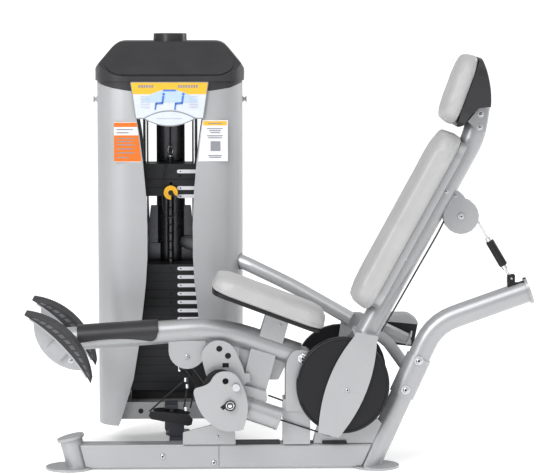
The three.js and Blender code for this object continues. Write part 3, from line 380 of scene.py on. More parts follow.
def rubber(name, color, rough, worn=(0.22, 0.22, 0.22)):
    """Matt rubber with a coarse grain and scuffed edges."""
    n = Nodes(name)
    base = n.scuffed(n.mottled(30, 5, 0.3, 0.75, color, 0.8, 1.3), worn, 70)
    n.bump([(n.noise(700, 3), 0.3, 0.0005)])
    return n.end(base, n.span(n.noise(80, 3), rough - 0.08, rough + 0.08))


def steel(name, color, rough, brushed=(1, 1, 1)):
    """Bare or plated steel; brushed is how its fine lines are stretched."""
    n = Nodes(name)
    base = n.mottled(120, 3, 0.3, 0.7, color, 0.92)
    n.bump([(n.noise(500, 2, stretch=brushed), 0.03, 0.0002)])
    return n.end(base, n.span(n.noise(60, 4), rough * 0.7, rough * 1.4), 1.0)


def paint(name, color, rough=0.35):
    """A printed or lacquered colour."""
    n = Nodes(name)
    base = n.mottled(40, 4, 0.3, 0.7, color, 0.94)
    n.bump([(n.noise(800, 2), 0.03, 0.0002)])
    return n.end(base, n.span(n.noise(60, 3), rough - 0.05, rough + 0.05), Coat_Weight=0.3)


SILVER = (0.47, 0.475, 0.485)
silver = coat("silver_coat", SILVER, 0.36, 0.45, (0.72, 0.72, 0.73))
sheet_silver = coat("shroud_coat", SILVER, 0.42, 0.35, (0.75, 0.75, 0.76), 0.04, 0.15)
charcoal = coat("charcoal_coat", (0.10, 0.10, 0.12), 0.42, 0.3, (0.3, 0.3, 0.32))
black_coat = coat("black_coat", (0.011, 0.011, 0.014), 0.42, 0.0, (0.10, 0.10, 0.11), 0.2, 0.1)
black_steel = coat("stack_coat", (0.018, 0.019, 0.022), 0.40, 0.1, (0.24, 0.24, 0.25), 0.15)
dark_plastic = plastic("dark_plastic", (0.042, 0.041, 0.044), 0.36, coat_weight=0.15)
black_plastic = plastic("black_plastic", (0.018, 0.018, 0.02), 0.42)
cable_black = plastic("cable_nylon", (0.016, 0.016, 0.018), 0.38)
yellow = plastic("yellow_plastic", (0.80, 0.46, 0.02), 0.28, (0.9, 0.66, 0.25), 0.4)
vinyl = vinyl_material()
tread = rubber("tread_rubber", (0.05, 0.05, 0.054), 0.55)
tread_light = rubber("tread_marks", (0.13, 0.13, 0.135), 0.5)
black_rubber = rubber("black_rubber", (0.02, 0.02, 0.021), 0.7)
chrome = steel("chrome", (0.80, 0.81, 0.82), 0.12)
zinc = steel("zinc_plate", (0.66, 0.67, 0.69), 0.26)
dark_chrome = steel("mast_steel", (0.13, 0.13, 0.14), 0.24, (1, 1, 0.05))
white_print = paint("white_print", (0.66, 0.70, 0.77))
yellow_print = paint("yellow_print", (0.86, 0.50, 0.05))
orange_print = paint("orange_print", (0.80, 0.20, 0.02))
blue_print = paint("blue_print", (0.10, 0.24, 0.60))
pale_print = paint("pale_print", (0.50, 0.62, 0.82))
grey_print = paint("grey_print", (0.30, 0.31, 0.33))
faint_print = paint("faint_print", (0.52, 0.56, 0.64))
# Near-black: painted shade in holes and in the gaps between the stack's plates, and the colour of
# one black screw on the top plate.
black_and_painted_shade = paint("black_and_painted_shade", (0.008, 0.008, 0.009), 0.6)
label_white = paint("label_white", (0.80, 0.80, 0.84), 0.3)

SLOT_LOOK = {
    "frame_coat": silver,
    "shroud_coat": sheet_silver,
    "dark_coat": charcoal,
    "black_coat": black_coat,
    "black_steel": black_steel,
    "dark_plastic": dark_plastic,
    "black_plastic": black_plastic,
    "yellow_plastic": yellow,
    "placard": grey_print,
    "vinyl": vinyl,
    "tread_rubber": tread,
    "black_rubber": black_rubber,
    "cable": cable_black,
    "chrome": chrome,
}

# ---- Cords ----


def smooth_path(knots, steps=8):
    """Catmull-Rom points through the knots."""
    ends = [knots[0] * 2 - knots[1]] + knots + [knots[-1] * 2 - knots[-2]]
    points = []
    for a, b, c, d in zip(ends, ends[1:], ends[2:], ends[3:]):
        for i in range(steps):
            t = i / steps
            points.append(0.5 * (2 * b + (c - a) * t + (2 * a - 5 * b + 4 * c - d) * t * t
                                 + (3 * b - a - 3 * c + d) * t * t * t))
    return points + [knots[-1]]


LANYARD_THICK = 0.004
LANYARD = smooth_path([D(TOWER_X + across, y, z) for across, y, z in (
    (-14, 439.4, 992), (-15, 430, 990), (-19, 425, 975), (-23, 423, 940), (-27, 421, 905),
    (-28, 420, 870), (-24, 420, 838), (-12, 420, 812), (4, 420, 806), (17, 421, 820),
    (22, 422, 846), (18, 422, 872.5))])
bm = bmesh.new()
tube(bm, LANYARD, LANYARD_THICK / 2, 8)
lanyard = finish_mesh("lanyard", bm, [cable_black])
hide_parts("pin_lanyard")
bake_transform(lanyard)

# ---- CAD nodes ----

for entry in frame["record"]["subparts"]:
    node = frame["nodes"][entry["node"]]
    node.data.materials.clear()
    node.data.materials.append(SLOT_LOOK[entry["material_slot"]])


def two_tone(name, look, test):
    """Gives the faces of a CAD node that pass the test another material."""
    mesh = frame["nodes"][name].data
    mesh.materials.append(look)
    index = len(mesh.materials) - 1
    for face in mesh.polygons:
        if test(face.center, face.normal):
            face.material_index = index


# How wide each node's edges are rounded; the cables, rods and stack keep their edges.
EDGE = 0.0009
SOFT_EDGE = {
    "top_cap": 0.004,
    "head_shell": 0.003,
    "arm_cover": 0.0015,
    "base_beam": 0.002,
    "side_cover": 0.002,
}
PLAIN = ("lift_cable", "drive_cable", "strut_cable", "back_cable", "lower_cables", "stack_block",
         "guide_rods", "selector_stem", "pin_lanyard")
SHARP, FLAT = math.radians(SHARP_DEGREES), math.radians(0.4)
WELD_REACH = 2e-5
for name, node in frame["nodes"].items():
    custom = node.data.attributes.get("custom_normal")
    if custom:
        node.data.attributes.remove(custom)
    node.data.shade_smooth()
    weld = node.modifiers.new("weld", "WELD")
    weld.merge_threshold = WELD_REACH
    if name in PLAIN:
        split = node.modifiers.new("split", "EDGE_SPLIT")
        split.split_angle = SHARP
        continue
    flatten = node.modifiers.new("flatten", "DECIMATE")
    flatten.decimate_type = "DISSOLVE"
    flatten.angle_limit = FLAT
    flatten.delimit = {"MATERIAL"}
    edge = node.modifiers.new("edge", "BEVEL")
    edge.width = SOFT_EDGE.get(name, EDGE)
    edge.segments = 2
    edge.limit_method = "ANGLE"
    edge.angle_limit = SHARP
    edge.use_clamp_overlap = True
    even = node.modifiers.new("even", "WEIGHTED_NORMAL")
    even.weight = 90

CABLE_Y = 500
CABLE_TOP, CABLE_FOOT = D(TOWER_X, CABLE_Y, 1296), D(TOWER_X, CABLE_Y, 1047.4)
CABLE_STEPS = 24
bm = bmesh.new()
tube(bm, [CABLE_TOP.lerp(CABLE_FOOT, i / CABLE_STEPS) for i in range(CABLE_STEPS + 1)], 0.003, 12)
hoist = finish_mesh("hoist_cable", bm, [cable_black])
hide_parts("lift_cable")
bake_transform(hoist)

# ---- Pads ----

# The pads start PAD_INSET smaller than their CAD solids and swell by PAD_SWELL at most.
PAD_INSET, PAD_SWELL = 0.005, 0.006
PAD_CELL, PAD_SMOOTHING = 0.006, 8
BACK_EDGE, BACK_HELD = 0.012, 0.004
CLOTH_STEPS, CLOTH_PRESSURE = 20, 4.0
# The seam's height is a share of the pad's thickness from its back.
SEAM_THICK, SEAM_LIFT, SEAM_HEIGHT = 0.0011, 0.0002, 0.3


def evaluated(piece):
    graph = bpy.context.evaluated_depsgraph_get()
    return bpy.data.meshes.new_from_object(piece.evaluated_get(graph))


def inflate(piece, back):
    """Blows the pad up as cloth, holding its back; no point moves farther than PAD_SWELL."""
    rest = [v.co.copy() for v in piece.data.vertices]
    pin = piece.vertex_groups.new(name="back")
    pin.add([v.index for v in piece.data.vertices if back(v.co)], 1.0, "REPLACE")
    cloth = piece.modifiers.new("cloth", "CLOTH")
    cloth.settings.vertex_group_mass = "back"
    cloth.settings.use_pressure = True
    cloth.settings.uniform_pressure_force = CLOTH_PRESSURE
    cloth.settings.effector_weights.gravity = 0.0
    cloth.point_cache.frame_start, cloth.point_cache.frame_end = 1, CLOTH_STEPS
    for step in range(1, CLOTH_STEPS + 1):
        scene.frame_set(step)
    blown = evaluated(piece)
    piece.modifiers.remove(cloth)
    for vertex, start, end in zip(piece.data.vertices, rest, blown.vertices):
        move = end.co - start
        vertex.co = start + move * min(1.0, PAD_SWELL / max(move.length, 1e-9))
    bpy.data.meshes.remove(blown)
    scene.frame_set(1)
    piece.vertex_groups.clear()


def pad_form(outline, low, high, edge):
    """The pad's block, with a wide rounding round its front and a small one round its back."""
    bm = bmesh.new()
    lows = [bm.verts.new((u, v, low)) for u, v in outline]
    highs = [bm.verts.new((u, v, high)) for u, v in outline]
    back, front = bm.faces.new(lows[::-1]), bm.faces.new(highs)
    for k in range(len(outline)):
        n = (k + 1) % len(outline)
        bm.faces.new([lows[k], lows[n], highs[n], highs[k]])
    for face, offset, segments in ((front, edge, 10), (back, BACK_EDGE, 3)):
        bmesh.ops.bevel(bm, geom=list(face.edges), offset=offset, segments=segments,
                        affect="EDGES", profile=0.5)
    return bm


def soft_pad(name, node, body, at, rise, length, width, span, corner, edge):
    """An upholstered pad: at and rise place its length; span is its thickness, back to front."""
    place = Matrix.Translation(D(at[0], 0, at[1])) @ Matrix.Rotation(-rise, 4, "Y")
    low, high = span[0] * MM, span[1] * MM - PAD_INSET
    outline = rounded_rect(PAD_INSET, length * MM - PAD_INSET, PAD_INSET - width * HALF_MM,
                           width * HALF_MM - PAD_INSET, corner * MM, 8)
    pad = finish_mesh(name, pad_form(outline, low, high, edge * MM), [vinyl], sharp=180)
    blocks = pad.modifiers.new("blocks", "REMESH")
    blocks.mode = "VOXEL"
    blocks.voxel_size = PAD_CELL
    dense = evaluated(pad)
    pad.modifiers.remove(blocks)
    pad.data = dense
    held = low + BACK_HELD
    inflate(pad, lambda co: co.z < held)
    even = bmesh.new()
    even.from_mesh(pad.data)
    for _ in range(PAD_SMOOTHING):
        bmesh.ops.smooth_vert(even, verts=even.verts, factor=0.5, use_axis_x=True,
                              use_axis_y=True, use_axis_z=True)
    skin = BVHTree.FromBMesh(even)
    even.to_mesh(pad.data)
    even.free()
    pad.data.materials.clear()
    pad.data.materials.append(vinyl)
    pad.data.shade_smooth()
    pad.data.transform(place)
    fine = pad.modifiers.new("fine", "SUBSURF")
    fine.levels = fine.render_levels = 1
    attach(pad, body)
    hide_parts(node)
    level = low + (high - low) * SEAM_HEIGHT
    middle = Vector((length * HALF_MM, 0, level))
    path = []
    for u, v in outline:
        out = Vector((u, v, level)) - middle
        hit = skin.ray_cast(middle + out * 1.3, -out.normalized())[0]
        if hit:
            path.append(place @ (hit + out.normalized() * SEAM_LIFT))
    bm = bmesh.new()
    tube(bm, path, SEAM_THICK, 6, closed=True)
    finish_mesh(name + "_seam", bm, [vinyl], body)


soft_pad("seat_cushion", "seat_pad", "arm", at=(-230, 620), rise=-0.359, length=408, width=300,
         span=(0.4, 58), corner=60, edge=24)
soft_pad("back_cushion", "back_pad", "back", at=(232.7, 573.5), rise=1.073, length=664, width=300,
         span=(-72, 0), corner=66, edge=28)
soft_pad("head_cushion", "head_pad", "back", at=(530, 1174.7), rise=1.222, length=248, width=250,
         span=(-56, 0), corner=60, edge=22)

# ---- Footplate treads ----

TIP, HEEL = Vector((-839, 558)), Vector((-618, 325))
CROWN_RADIUS, SOLE_RADIUS = 247.5, 600
RIB_DEPTH, RIB_STEPS = 0.7, 160
SOLE_STEPS, MARK_STEPS = 60, 40
TREAD_WIDTH, RIM = 111, 0.003


def tread_arc(radius, steps, inset=0.0):
    """Points from the tip to the heel on an arc; inset sinks the grooves between its ribs."""
    chord = HEEL - TIP
    across = Vector((-chord.y, chord.x)).normalized()
    centre = (TIP + HEEL) / 2 - across * math.sqrt(radius ** 2 - (chord.length / 2) ** 2)
    start = math.atan2(TIP.y - centre.y, TIP.x - centre.x)
    end = math.atan2(HEEL.y - centre.y, HEEL.x - centre.x)
    points = []
    for i in range(steps + 1):
        turn = start + (end - start) * i / steps
        reach = radius - (inset if i % 4 in (2, 3) else 0.0)
        points.append(centre + Vector((math.cos(turn), math.sin(turn))) * reach)
    return points


# The arcs stop short of the tip and the heel, so that both ends are blunt.
crown = tread_arc(CROWN_RADIUS, RIB_STEPS, RIB_DEPTH)[4:-4]
sole = tread_arc(SOLE_RADIUS, SOLE_STEPS)[1:-1]
belly, under = tread_arc(CROWN_RADIUS, MARK_STEPS), tread_arc(SOLE_RADIUS, MARK_STEPS)
for name, node, near_y in (("tread_near", "footplate_near", -246),
                           ("tread_far", "footplate_far", 134)):
    bm = bmesh.new()
    slab(bm, crown + sole[::-1], along_y(near_y + 0.5, 1), TREAD_WIDTH * MM)
    for face in [f for f in bm.faces if len(f.verts) > 8]:
        bmesh.ops.inset_region(bm, faces=[face], thickness=RIM, depth=0.0)
    for k in range(5, MARK_STEPS - 4, 3):
        mark = [belly[i].lerp(under[i], share)
                for i, share in ((k, 0.34), (k + 2, 0.34), (k + 1, 0.62), (k - 1, 0.62))]
        slab(bm, mark, along_y(near_y + 0.6, -1), 0.0009, 1)
    piece = finish_mesh(name, bm, [tread, tread_light], "arm", 30)
    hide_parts(node)

# ---- Decals, placard and plate labels ----


def box(x0, x1, z0, z1):
    """The corners of an upright rectangle on the drawing, left edge first."""
    return [(x0, z0), (x1, z0), (x1, z1), (x0, z1)]


def flat_mark(bm, corners, y, mat=0, depth=0.0006):
    """A thin printed shape that faces the seat, its back on the plane at y; also used for black
    marks of painted shade in holes and plate gaps.
    """
    slab(bm, corners, along_y(y, -1), depth, mat)


SHROUD_HALF, SHROUD_FRONT, SHROUD_CORNER = 255, 346, 62.5
CORNER_END = 62.0
BORDER = 4
WRAP_STEPS = 8


def front_of_shroud(x):
    """The Y of the shroud's rounded front at an X on the drawing."""
    turn = max(0.0, abs(x - TOWER_X) - (SHROUD_HALF - SHROUD_CORNER))
    turn = min(turn, CORNER_END)
    return SHROUD_FRONT + SHROUD_CORNER - math.sqrt(SHROUD_CORNER ** 2 - turn ** 2)


def wrapped(bm, corners, lift, mat=0):
    """A decal on the shroud's rounded front; the (x, z) corners go round from its low left."""
    low_left, low_right, high_right, high_left = (Vector(c) for c in corners)
    columns = []
    for i in range(WRAP_STEPS + 1):
        t = i / WRAP_STEPS
        ends = low_left.lerp(low_right, t), high_left.lerp(high_right, t)
        columns.append([bm.verts.new(D(x, front_of_shroud(x) - lift, z)) for x, z in ends])
    for a, b in zip(columns, columns[1:]):
        bm.faces.new([a[0], b[0], b[1], a[1]]).material_index = mat


def opening_edge(z, side):
    """The X just outside the tower's waisted opening at a height on the drawing."""
    knots = ((1112, 106), (1010, 94), (899, 83))
    half = knots[-1][1]
    for (z1, h1), (z0, h0) in zip(knots, knots[1:]):
        if z >= z0:
            half = h0 + (h1 - h0) * (z - z0) / (z1 - z0)
            break
    return TOWER_X + side * (half + BORDER)


# Left label: a white ground with an orange heading and field, and lines of print.
bm = bmesh.new()
for z0, z1, mat, lift in ((1010, 1149, 0, 0.5), (1132, 1147, 3, 0.9), (1012, 1103, 3, 0.9)):
    wrapped(bm, [(-559, z0), (opening_edge(z0, -1), z0), (opening_edge(z1, -1), z1),
                 (-559, z1)], lift, mat)
for z, share in ((1123, 0.8), (1112, 0.6), (1092, 0.9), (1081, 0.8), (1070, 0.9), (1056, 0.8),
                 (1042, 0.9), (1026, 0.6)):
    wrapped(bm, box(-550, -550 + 70 * share, z - 2, z + 2), 1.2, 2)
# Right label: a white ground with a yellow heading, lines of print and a plain square.
for z0, z1, inset, right, mat, lift in ((1012, 1155, 0, -164, 0, 0.5),
                                        (1137, 1152, 3, -168, 1, 0.9)):
    wrapped(bm, [(opening_edge(z0, 1) + inset, z0), (right, z0), (right, z1),
                 (opening_edge(z1, 1) + inset, z1)], lift, mat)
for z, share in ((1144, 0.7), (1126, 0.8), (1119, 0.6), (1112, 0.5), (1101, 0.8), (1094, 0.7),
                 (1032, 0.7), (1026, 0.6)):
    wrapped(bm, box(-206 - 38 * share, -206 + 30 * share, z - 1.6, z + 1.6), 1.3, 2)
wrapped(bm, box(-224, -190, 1048, 1082), 1.3, 2)
finish_mesh("shroud_decals", bm, [label_white, yellow_print, grey_print, orange_print],
            "frame")

BOARD_Y, LENS_Y = 336.0, 333.0
BOARD_FOOT, BOARD_HALF, BOARD_SPREAD = 1160, 115, 18 / 129
LENS_Z, LENS_HALF, LENS_HEIGHT, LENS_TIP = 1162, 84, 24, 86
DASH = 9


def board_mark(bm, z0, z1, lift, mat):
    """A print over the placard's full width, which grows toward its top."""
    low, high = (BOARD_HALF + (z - BOARD_FOOT) * BOARD_SPREAD for z in (z0, z1))
    flat_mark(bm, [(TOWER_X - low, z0), (TOWER_X + low, z0), (TOWER_X + high, z1),
                   (TOWER_X - high, z1)], BOARD_Y - lift, mat)


bm = bmesh.new()
board_mark(bm, 1164, 1285, 0, 0)
board_mark(bm, 1246, 1286, 0.6, 1)
flat_mark(bm, arc(TOWER_X, 1130, 132, 42, 138, 20), BOARD_Y - 1.0, 2)
for across, count in ((-108, 6), (28, 8)):
    for dash in range(count):
        x = TOWER_X + across + dash * DASH
        flat_mark(bm, [(x, 1268), (x + 6.5, 1268), (x + 8, 1278), (x + 1.5, 1278)],
                  BOARD_Y - 1.2, 4)
for side in (-1, 1):
    for row in range(5):
        z = 1236 - row * 9
        x = TOWER_X + side * 84
        flat_mark(bm, box(x - 16, x + 16, z, z + 1.6), BOARD_Y - 1.8, 5)
    x = TOWER_X + side * 34
    head, trunk = arc(14, 1246, 5, 0, 330, 10), [(6, 1214), (13, 1216), (17, 1240), (9, 1240)]
    thigh = [(-14, 1210), (12, 1212), (12, 1218), (-12, 1217)]
    shin = [(-18, 1192), (-13, 1192), (-10, 1216), (-15, 1216)]
    for limb in (head, trunk, thigh, shin):
        flat_mark(bm, [(x + across, z) for across, z in limb], BOARD_Y - 1.6, 3)
flat_mark(bm, box(TOWER_X - 22, TOWER_X + 22, 1256, 1262), BOARD_Y - 1.8, 3)
lens = []
for turn in circle(40):
    across = LENS_HALF * math.cos(turn)
    rise = LENS_HEIGHT * math.sin(turn) * math.sqrt(1 - (across / LENS_TIP) ** 2)
    lens.append((TOWER_X + across, LENS_Z + rise))
flat_mark(bm, lens, LENS_Y, 0)
flat_mark(bm, box(TOWER_X - 44, TOWER_X + 44, 1160, 1164), LENS_Y - 0.8, 5)
finish_mesh("placard_print", bm, [white_print, yellow_print, pale_print, blue_print, grey_print,
                                  faint_print], "frame")

STACK_FOOT, STACK_FRONT = 193, 440
PLATES, LABELLED_FROM, PLATE_PITCH, PLATE_HALF = 15, 7, 29.85, 148
BAR_HALF, GROOVE_HALF = 6.6, 2.2


def plate_label(bm, z, y):
    """A white bar with a round left end and a small hole, right of the plate's centre hole; both
    holes are black discs of painted shade.
    """
    left, right = TOWER_X + 30, TOWER_X + 132
    bar = [(right, z - BAR_HALF), (right, z + BAR_HALF)] + arc(left, z, BAR_HALF, 90, 270, 8)
    flat_mark(bm, bar, y, 0, 0.0005)
    flat_mark(bm, arc(left + 6, z, 2.4, 0, 330, 11), y - 0.5, 1, 0.0003)
    flat_mark(bm, arc(TOWER_X + 2, z, 5.6, 0, 345, 14), y, 1, 0.0003)


bm = bmesh.new()
for k in range(LABELLED_FROM, PLATES):
    plate_label(bm, STACK_FOOT + (k + 0.5) * PLATE_PITCH, STACK_FRONT)
# Thin black strips over the joins between the plates: painted shade in the gaps between them.
for k in range(1, PLATES):
    seam = STACK_FOOT + k * PLATE_PITCH
    flat_mark(bm, box(TOWER_X - PLATE_HALF, TOWER_X + PLATE_HALF, seam - GROOVE_HALF,
                      seam + GROOVE_HALF), STACK_FRONT - 0.1, 1, 0.0003)
finish_mesh("stack_labels_and_seam_shade", bm, [label_white, black_and_painted_shade], "frame")
bm = bmesh.new()
for z in (969.5, 911, 882):
    plate_label(bm, z, STACK_FRONT)
bolt(bm, D(TOWER_X + 34, STACK_FRONT, 955), OUTWARD, 0.005, False, 1)
lathe(bm, D(TOWER_X, CABLE_Y, 1017), (0, 0, 1), [
    (0, 0), (0.008, 0), (0.008, 0.006), (0.0045, 0.008), (0.0045, 0.02), (0, 0.02)], 16, 2)
tube(bm, [D(TOWER_X, CABLE_Y, 1040) + Vector((0.008 * math.cos(t), 0, 0.015 * math.sin(t)))
          for t in circle(24)], 0.0022, 8, True, 2)
finish_mesh("carriage_fittings", bm, [label_white, black_and_painted_shade, zinc], "carriage")

# ---- Bolts and small fittings ----


def bolts(name, body, places, bm=None):
    """One piece of bolts that face the seat: rows of x, y, z, size and whether on a washer."""
    if bm is None:
        bm = bmesh.new()
    for x, y, z, size, washer in places:
        # The black rubber look goes on each socket's floor as painted shade.
        bolt(bm, D(x, y, z), OUTWARD, size * MM, washer, 0, 1)
    finish_mesh(name, bm, [zinc, black_rubber], body)


bolts("frame_bolts", "frame", [
    (-389, -38, 46, 9, False), (-217, -38, 24, 9, False), (-203, -44, 112, 6, False),
    (81, -60.4, 380, 11, False)])
bolts("arm_bolts", "arm", [
    (-306, -30, 384, 7, False), (-711, -194, 453, 6, True), (-686, -194, 398, 6, True),
    (8, -34, 490, 5, False)])
bolts("back_bolts", "back", [
    (561, -36, 938, 6, True), (427, -36, 712, 6, True), (674, -44, 1196, 7, True),
    (671, -44, 1153, 7, True), (613, -27, 853, 7, True), (595, -22, 923, 6, False),
    (229, -94, 278, 8, False)])

BEAM_SEAM_X = -200
bm = bmesh.new()
tube(bm, [D(BEAM_SEAM_X, -38.3, z) for z in (10, 30, 60, 82)], 0.0007, 6, False, 1)
bolts("sleeve_bolts", "frame", [(472, -43, 368, 10, True), (428, -43, 269, 10, True)], bm)

bm = bmesh.new()
tube(bm, [D(-331, 48, 322), D(-331, 48, 338)], 0.006, 14)
for x, y, z in ((-311, 48, 293), (-306, 48, 271), (-313, 100, 184)):
    tube(bm, [D(x, y, z - 7), D(x, y, z + 7)], 0.0055, 14)
finish_mesh("ferrules", bm, [chrome], "frame")

bm = bmesh.new()
lathe(bm, D(-695.5, 0, 87), (-21, 0, 83), [
    (0.0379, 0), (0.0379, 0.013), (0.045, 0.0132), (0.046, 0.0142), (0.046, 0.0225),
    (0.044, 0.0245), (0.034, 0.0262), (0.018, 0.0270), (0, 0.0272)], 48)
cap = finish_mesh("front_post_cap", bm, [silver], "frame", 40)
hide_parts("front_cap")

bm = bmesh.new()
for side, x in ((-1, -621), (1, -111)):
    lathe(bm, D(x, 500, 1221), (side, 0, 0), [
        (0, 0), (0.011, 0), (0.011, 0.003), (0.006, 0.004), (0.006, 0.010), (0.010, 0.011),
        (0.010, 0.015), (0, 0.015)], 20)
finish_mesh("towel_pegs", bm, [silver], "frame")

bm = bmesh.new()
CAM_X, CAM_Z, CAM_WIDE, CAM_TALL = 215, 292, 150, 157
rim_turns = [math.radians(172 - k * 5) for k in range(67)]
tube(bm, [D(CAM_X + CAM_WIDE * math.cos(t), -82.4, CAM_Z + CAM_TALL * math.sin(t))
          for t in rim_turns], 0.0035)
finish_mesh("cam_rim", bm, [black_coat], "cams")

bm = bmesh.new()
link_way = Vector((-114, 0, 194)).normalized()
lathe(bm, D(785, 0, 642) + link_way * 0.05, link_way, [
    (0, 0), (0.0125, 0), (0.014, 0.004), (0.014, 0.092), (0.0125, 0.096), (0, 0.096)], 24)
finish_mesh("link_sleeve", bm, [black_plastic], "link")

# ---- Details of the cap, the mast and the mechanism ----

SLOPE_LOW, SLOPE_WAY = Vector((0, 338, 1304)), Vector((0, 162, 120)).normalized()
SLOPE_OUT = Vector((0, -120, 162)).normalized()


def on_slope(u, v, w):
    """A slab's place on the cap's sloped front: u across, v up the slope, w out of it."""
    point = SLOPE_LOW + SLOPE_WAY * v + SLOPE_OUT * (w * 1000)
    return D(TOWER_X + u, point.y, point.z)


def curve(a, b, c, steps):
    """Points of a quadratic curve from a to c, pulled toward b."""
    a, b, c = Vector(a), Vector(b), Vector(c)
    return [tuple(a * (1 - t) ** 2 + b * 2 * t * (1 - t) + c * t * t)
            for t in [i / steps for i in range(steps + 1)]]


right_edge = arc(160, 74, 62, -90, 0, 10) + curve((222, 100), (222, 142), (172, 188), 10)
bm = bmesh.new()
slab(bm, right_edge + [(-u, v) for u, v in right_edge[::-1]], on_slope, 0.0045, 0, 0.0022)
top_face = max(bm.faces, key=lambda f: f.calc_area() * (f.normal.y < 0))
for _ in range(2):
    bmesh.ops.inset_region(bm, faces=[top_face], thickness=0.006, depth=0.0)
finish_mesh("cap_panel", bm, [dark_plastic], "frame")

MAST_HALF, MAST_Y, MAST_SWELL, MAST_ENDS = 49.5, 599.5, 15, (165, 1298)
bm = bmesh.new()
columns = []
for i in range(-12, 13):
    t = i / 12
    x, y = TOWER_X + MAST_HALF * t, MAST_Y - MAST_SWELL * math.sqrt(1 - t * t)
    columns.append([bm.verts.new(D(x, y, z)) for z in MAST_ENDS])
for a, b in zip(columns, columns[1:]):
    bm.faces.new([a[0], b[0], b[1], a[1]])
finish_mesh("mast_face", bm, [dark_chrome], "frame", 60)


def disc(bm, x, y, z, radius, depth=0.0008):
    """A flat disc that faces the seat."""
    lathe(bm, D(x, y, z), OUTWARD, [(0, 0), (radius, 0), (radius, depth), (0, depth)], 28)


# The pin's eye, as two black discs: painted shade in the hole.
bm = bmesh.new()
disc(bm, TOWER_X + 2, 414.2, 896.7, 0.009)
disc(bm, TOWER_X + 8, 413.6, 890, 0.006)
finish_mesh("hook_eye_shade", bm, [black_and_painted_shade], "pin")

HUB_X, HUB_Z, COLLAR = -163, 233, 12.5
bm = bmesh.new()
disc(bm, -196, -100.5, 298, 0.054, 0.003)
disc(bm, HUB_X, -128.4, HUB_Z, 0.0185)
tube(bm, [D(HUB_X + COLLAR * math.cos(t), -129.6, HUB_Z + COLLAR * math.sin(t))
          for t in circle(32)], 0.0022, 10, True, 1)
lathe(bm, D(HUB_X, -128.8, HUB_Z), OUTWARD, [
    (0, 0), (0.0075, 0), (0.007, 0.002), (0.003, 0.003), (0, 0.003)], 20, 1)
flat_mark(bm, [(-196, 226), (-180, 238), (-178, 222), (-186, 216)], -116.1)
finish_mesh("start_cam_hub", bm, [black_rubber, chrome], "start_cam")

LOCK_PLATE_Y = -50
# Two holes and a square notch in the lock plate, drawn as black discs and a black square: painted
# shade in them.
bm = bmesh.new()
disc(bm, -198, LOCK_PLATE_Y, 414, 0.0102)
disc(bm, -169, LOCK_PLATE_Y, 390, 0.0102)
flat_mark(bm, box(-187.5, -166.5, 350.5, 365.5), LOCK_PLATE_Y, depth=0.001)
finish_mesh("lock_hole_shade", bm, [black_and_painted_shade], "arm")

DRUM = Vector((167, 0, -58)).normalized()
DRUM_RADIUS, BAND_RADIUS, BAND_EDGE = 0.0378, 0.0396, 0.0008
bm = bmesh.new()
for along, wide in ((66, 0.005), (168, 0.007)):
    lathe(bm, D(HUB_X, -60, HUB_Z) + DRUM * along * MM, DRUM, [
        (DRUM_RADIUS, 0), (BAND_RADIUS, BAND_EDGE), (BAND_RADIUS, wide - BAND_EDGE),
        (DRUM_RADIUS, wide)], 40)
finish_mesh("drum_bands", bm, [silver], "arm")

bm = bmesh.new()
slab(bm, box(-145, 6, 86.3, 88.6), along_y(-36, 1), 0.072)
# The dark oval in front of the stand's web, below the cams, is a rubber pad that also stands for
# the shade under the cams: partly painted shade.
slab(bm, arc(152, 91, 5, 90, 270, 6) + arc(226, 91, 5, -90, 90, 6), along_y(-37.5, 1), 0.007)
disc(bm, -472, 380.2, 128, 0.009)
slab(bm, [(-432, 180), (-300, 166), (-288, 150), (-292, 132), (-304, 128), (-430, 152),
          (-438, 164)], along_y(80.5, 1), 0.003, bevel=0.001)
finish_mesh("dark_fittings_and_shade", bm, [black_plastic], "frame")

# ---- Painted parts of the CAD nodes ----


def drawn(point):
    """A point of a CAD node in the drawing's millimetres."""
    return (Vector(point) - SHIFT) / MM


frame["nodes"]["mast"].data.materials[0] = dark_chrome
frame["nodes"]["plunger"].data.materials[0] = zinc
frame["nodes"]["selector_stem"].data.materials[0] = dark_chrome
two_tone("side_cover", silver, lambda c, n: drawn(c).z > 446 and n.z > -0.2)
two_tone("rear_upright", black_coat,
         lambda c, n: drawn(c).x > 765 and abs(drawn(c).y) < 16.5 and drawn(c).z > 612)

# ---- Stage and lights ----

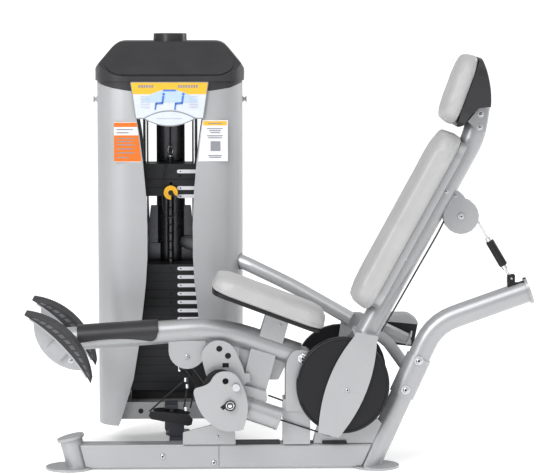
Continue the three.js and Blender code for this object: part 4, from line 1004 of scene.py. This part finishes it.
FLOOR_REACH, FLOOR_GAP = 400.0, 0.0005
floor_mesh = bpy.data.meshes.new("floor")
floor_mesh.from_pydata([(x * FLOOR_REACH, y * FLOOR_REACH, 0)
                        for x, y in ((-1, -1), (1, -1), (1, 1), (-1, 1))], [], [(0, 1, 2, 3)])
floor = bpy.data.objects.new("floor", floor_mesh)
floor.location.z = -FLOOR_GAP
scene.collection.objects.link(floor)
n = Nodes("floor_paint")
pale = n.ramp(n.noise(0.8, 2), 0.3, 0.7, (0.90, 0.90, 0.90), (0.92, 0.92, 0.92))
floor_mesh.materials.append(n.end(pale, 0.6, Emission_Color=(1, 1, 1, 1),
                                  Emission_Strength=0.28))

world = bpy.data.worlds.new("studio")
scene.world = world
world.use_nodes = True
sky = world.node_tree
way = sky.nodes.new("ShaderNodeTexCoord")
split = sky.nodes.new("ShaderNodeSeparateXYZ")
glow = sky.nodes.new("ShaderNodeValToRGB")
for stop, position, color in zip(glow.color_ramp.elements, (0.42, 0.9),
                                 ((0.60, 0.61, 0.63, 1), (1.0, 1.0, 1.0, 1))):
    stop.position = position
    stop.color = color
spread = sky.nodes.new("ShaderNodeMapRange")
spread.inputs["From Min"].default_value = -1.0
sky.links.new(way.outputs["Generated"], split.inputs[0])
sky.links.new(split.outputs["Z"], spread.inputs["Value"])
sky.links.new(spread.outputs["Result"], glow.inputs["Fac"])
sky.links.new(glow.outputs["Color"], sky.nodes["Background"].inputs["Color"])
sky.nodes["Background"].inputs["Strength"].default_value = 0.62


def hang(name, lamp, way):
    """Puts a lamp in the scene, shining along way."""
    lit = bpy.data.objects.new(name, lamp)
    scene.collection.objects.link(lit)
    lit.rotation_euler = (-Vector(way)).to_track_quat("Z", "Y").to_euler()
    return lit


def sun(name, way, strength, angle):
    lamp = bpy.data.lights.new(name, "SUN")
    lamp.energy = strength
    lamp.angle = math.radians(angle)
    hang(name, lamp, way)


def softbox(name, at, aim, width, height, power):
    lamp = bpy.data.lights.new(name, "AREA")
    lamp.shape = "RECTANGLE"
    lamp.size, lamp.size_y, lamp.energy = width, height, power
    hang(name, lamp, Vector(aim) - Vector(at)).location = at


sun("key_sun", (0.45, 0.75, -0.9), 1.15, 40)
sun("fill_sun", (-0.7, 0.5, -0.8), 0.5, 60)
softbox("key_box", (-2.6, -3.2, 2.6), (-0.2, 0, 0.6), 1.6, 2.2, 70)
softbox("rim_box", (2.8, 1.6, 2.4), (0.1, 0, 0.7), 1.2, 2.2, 45)
scene.view_settings.view_transform = "Standard"
scene.view_settings.gamma = 0.84
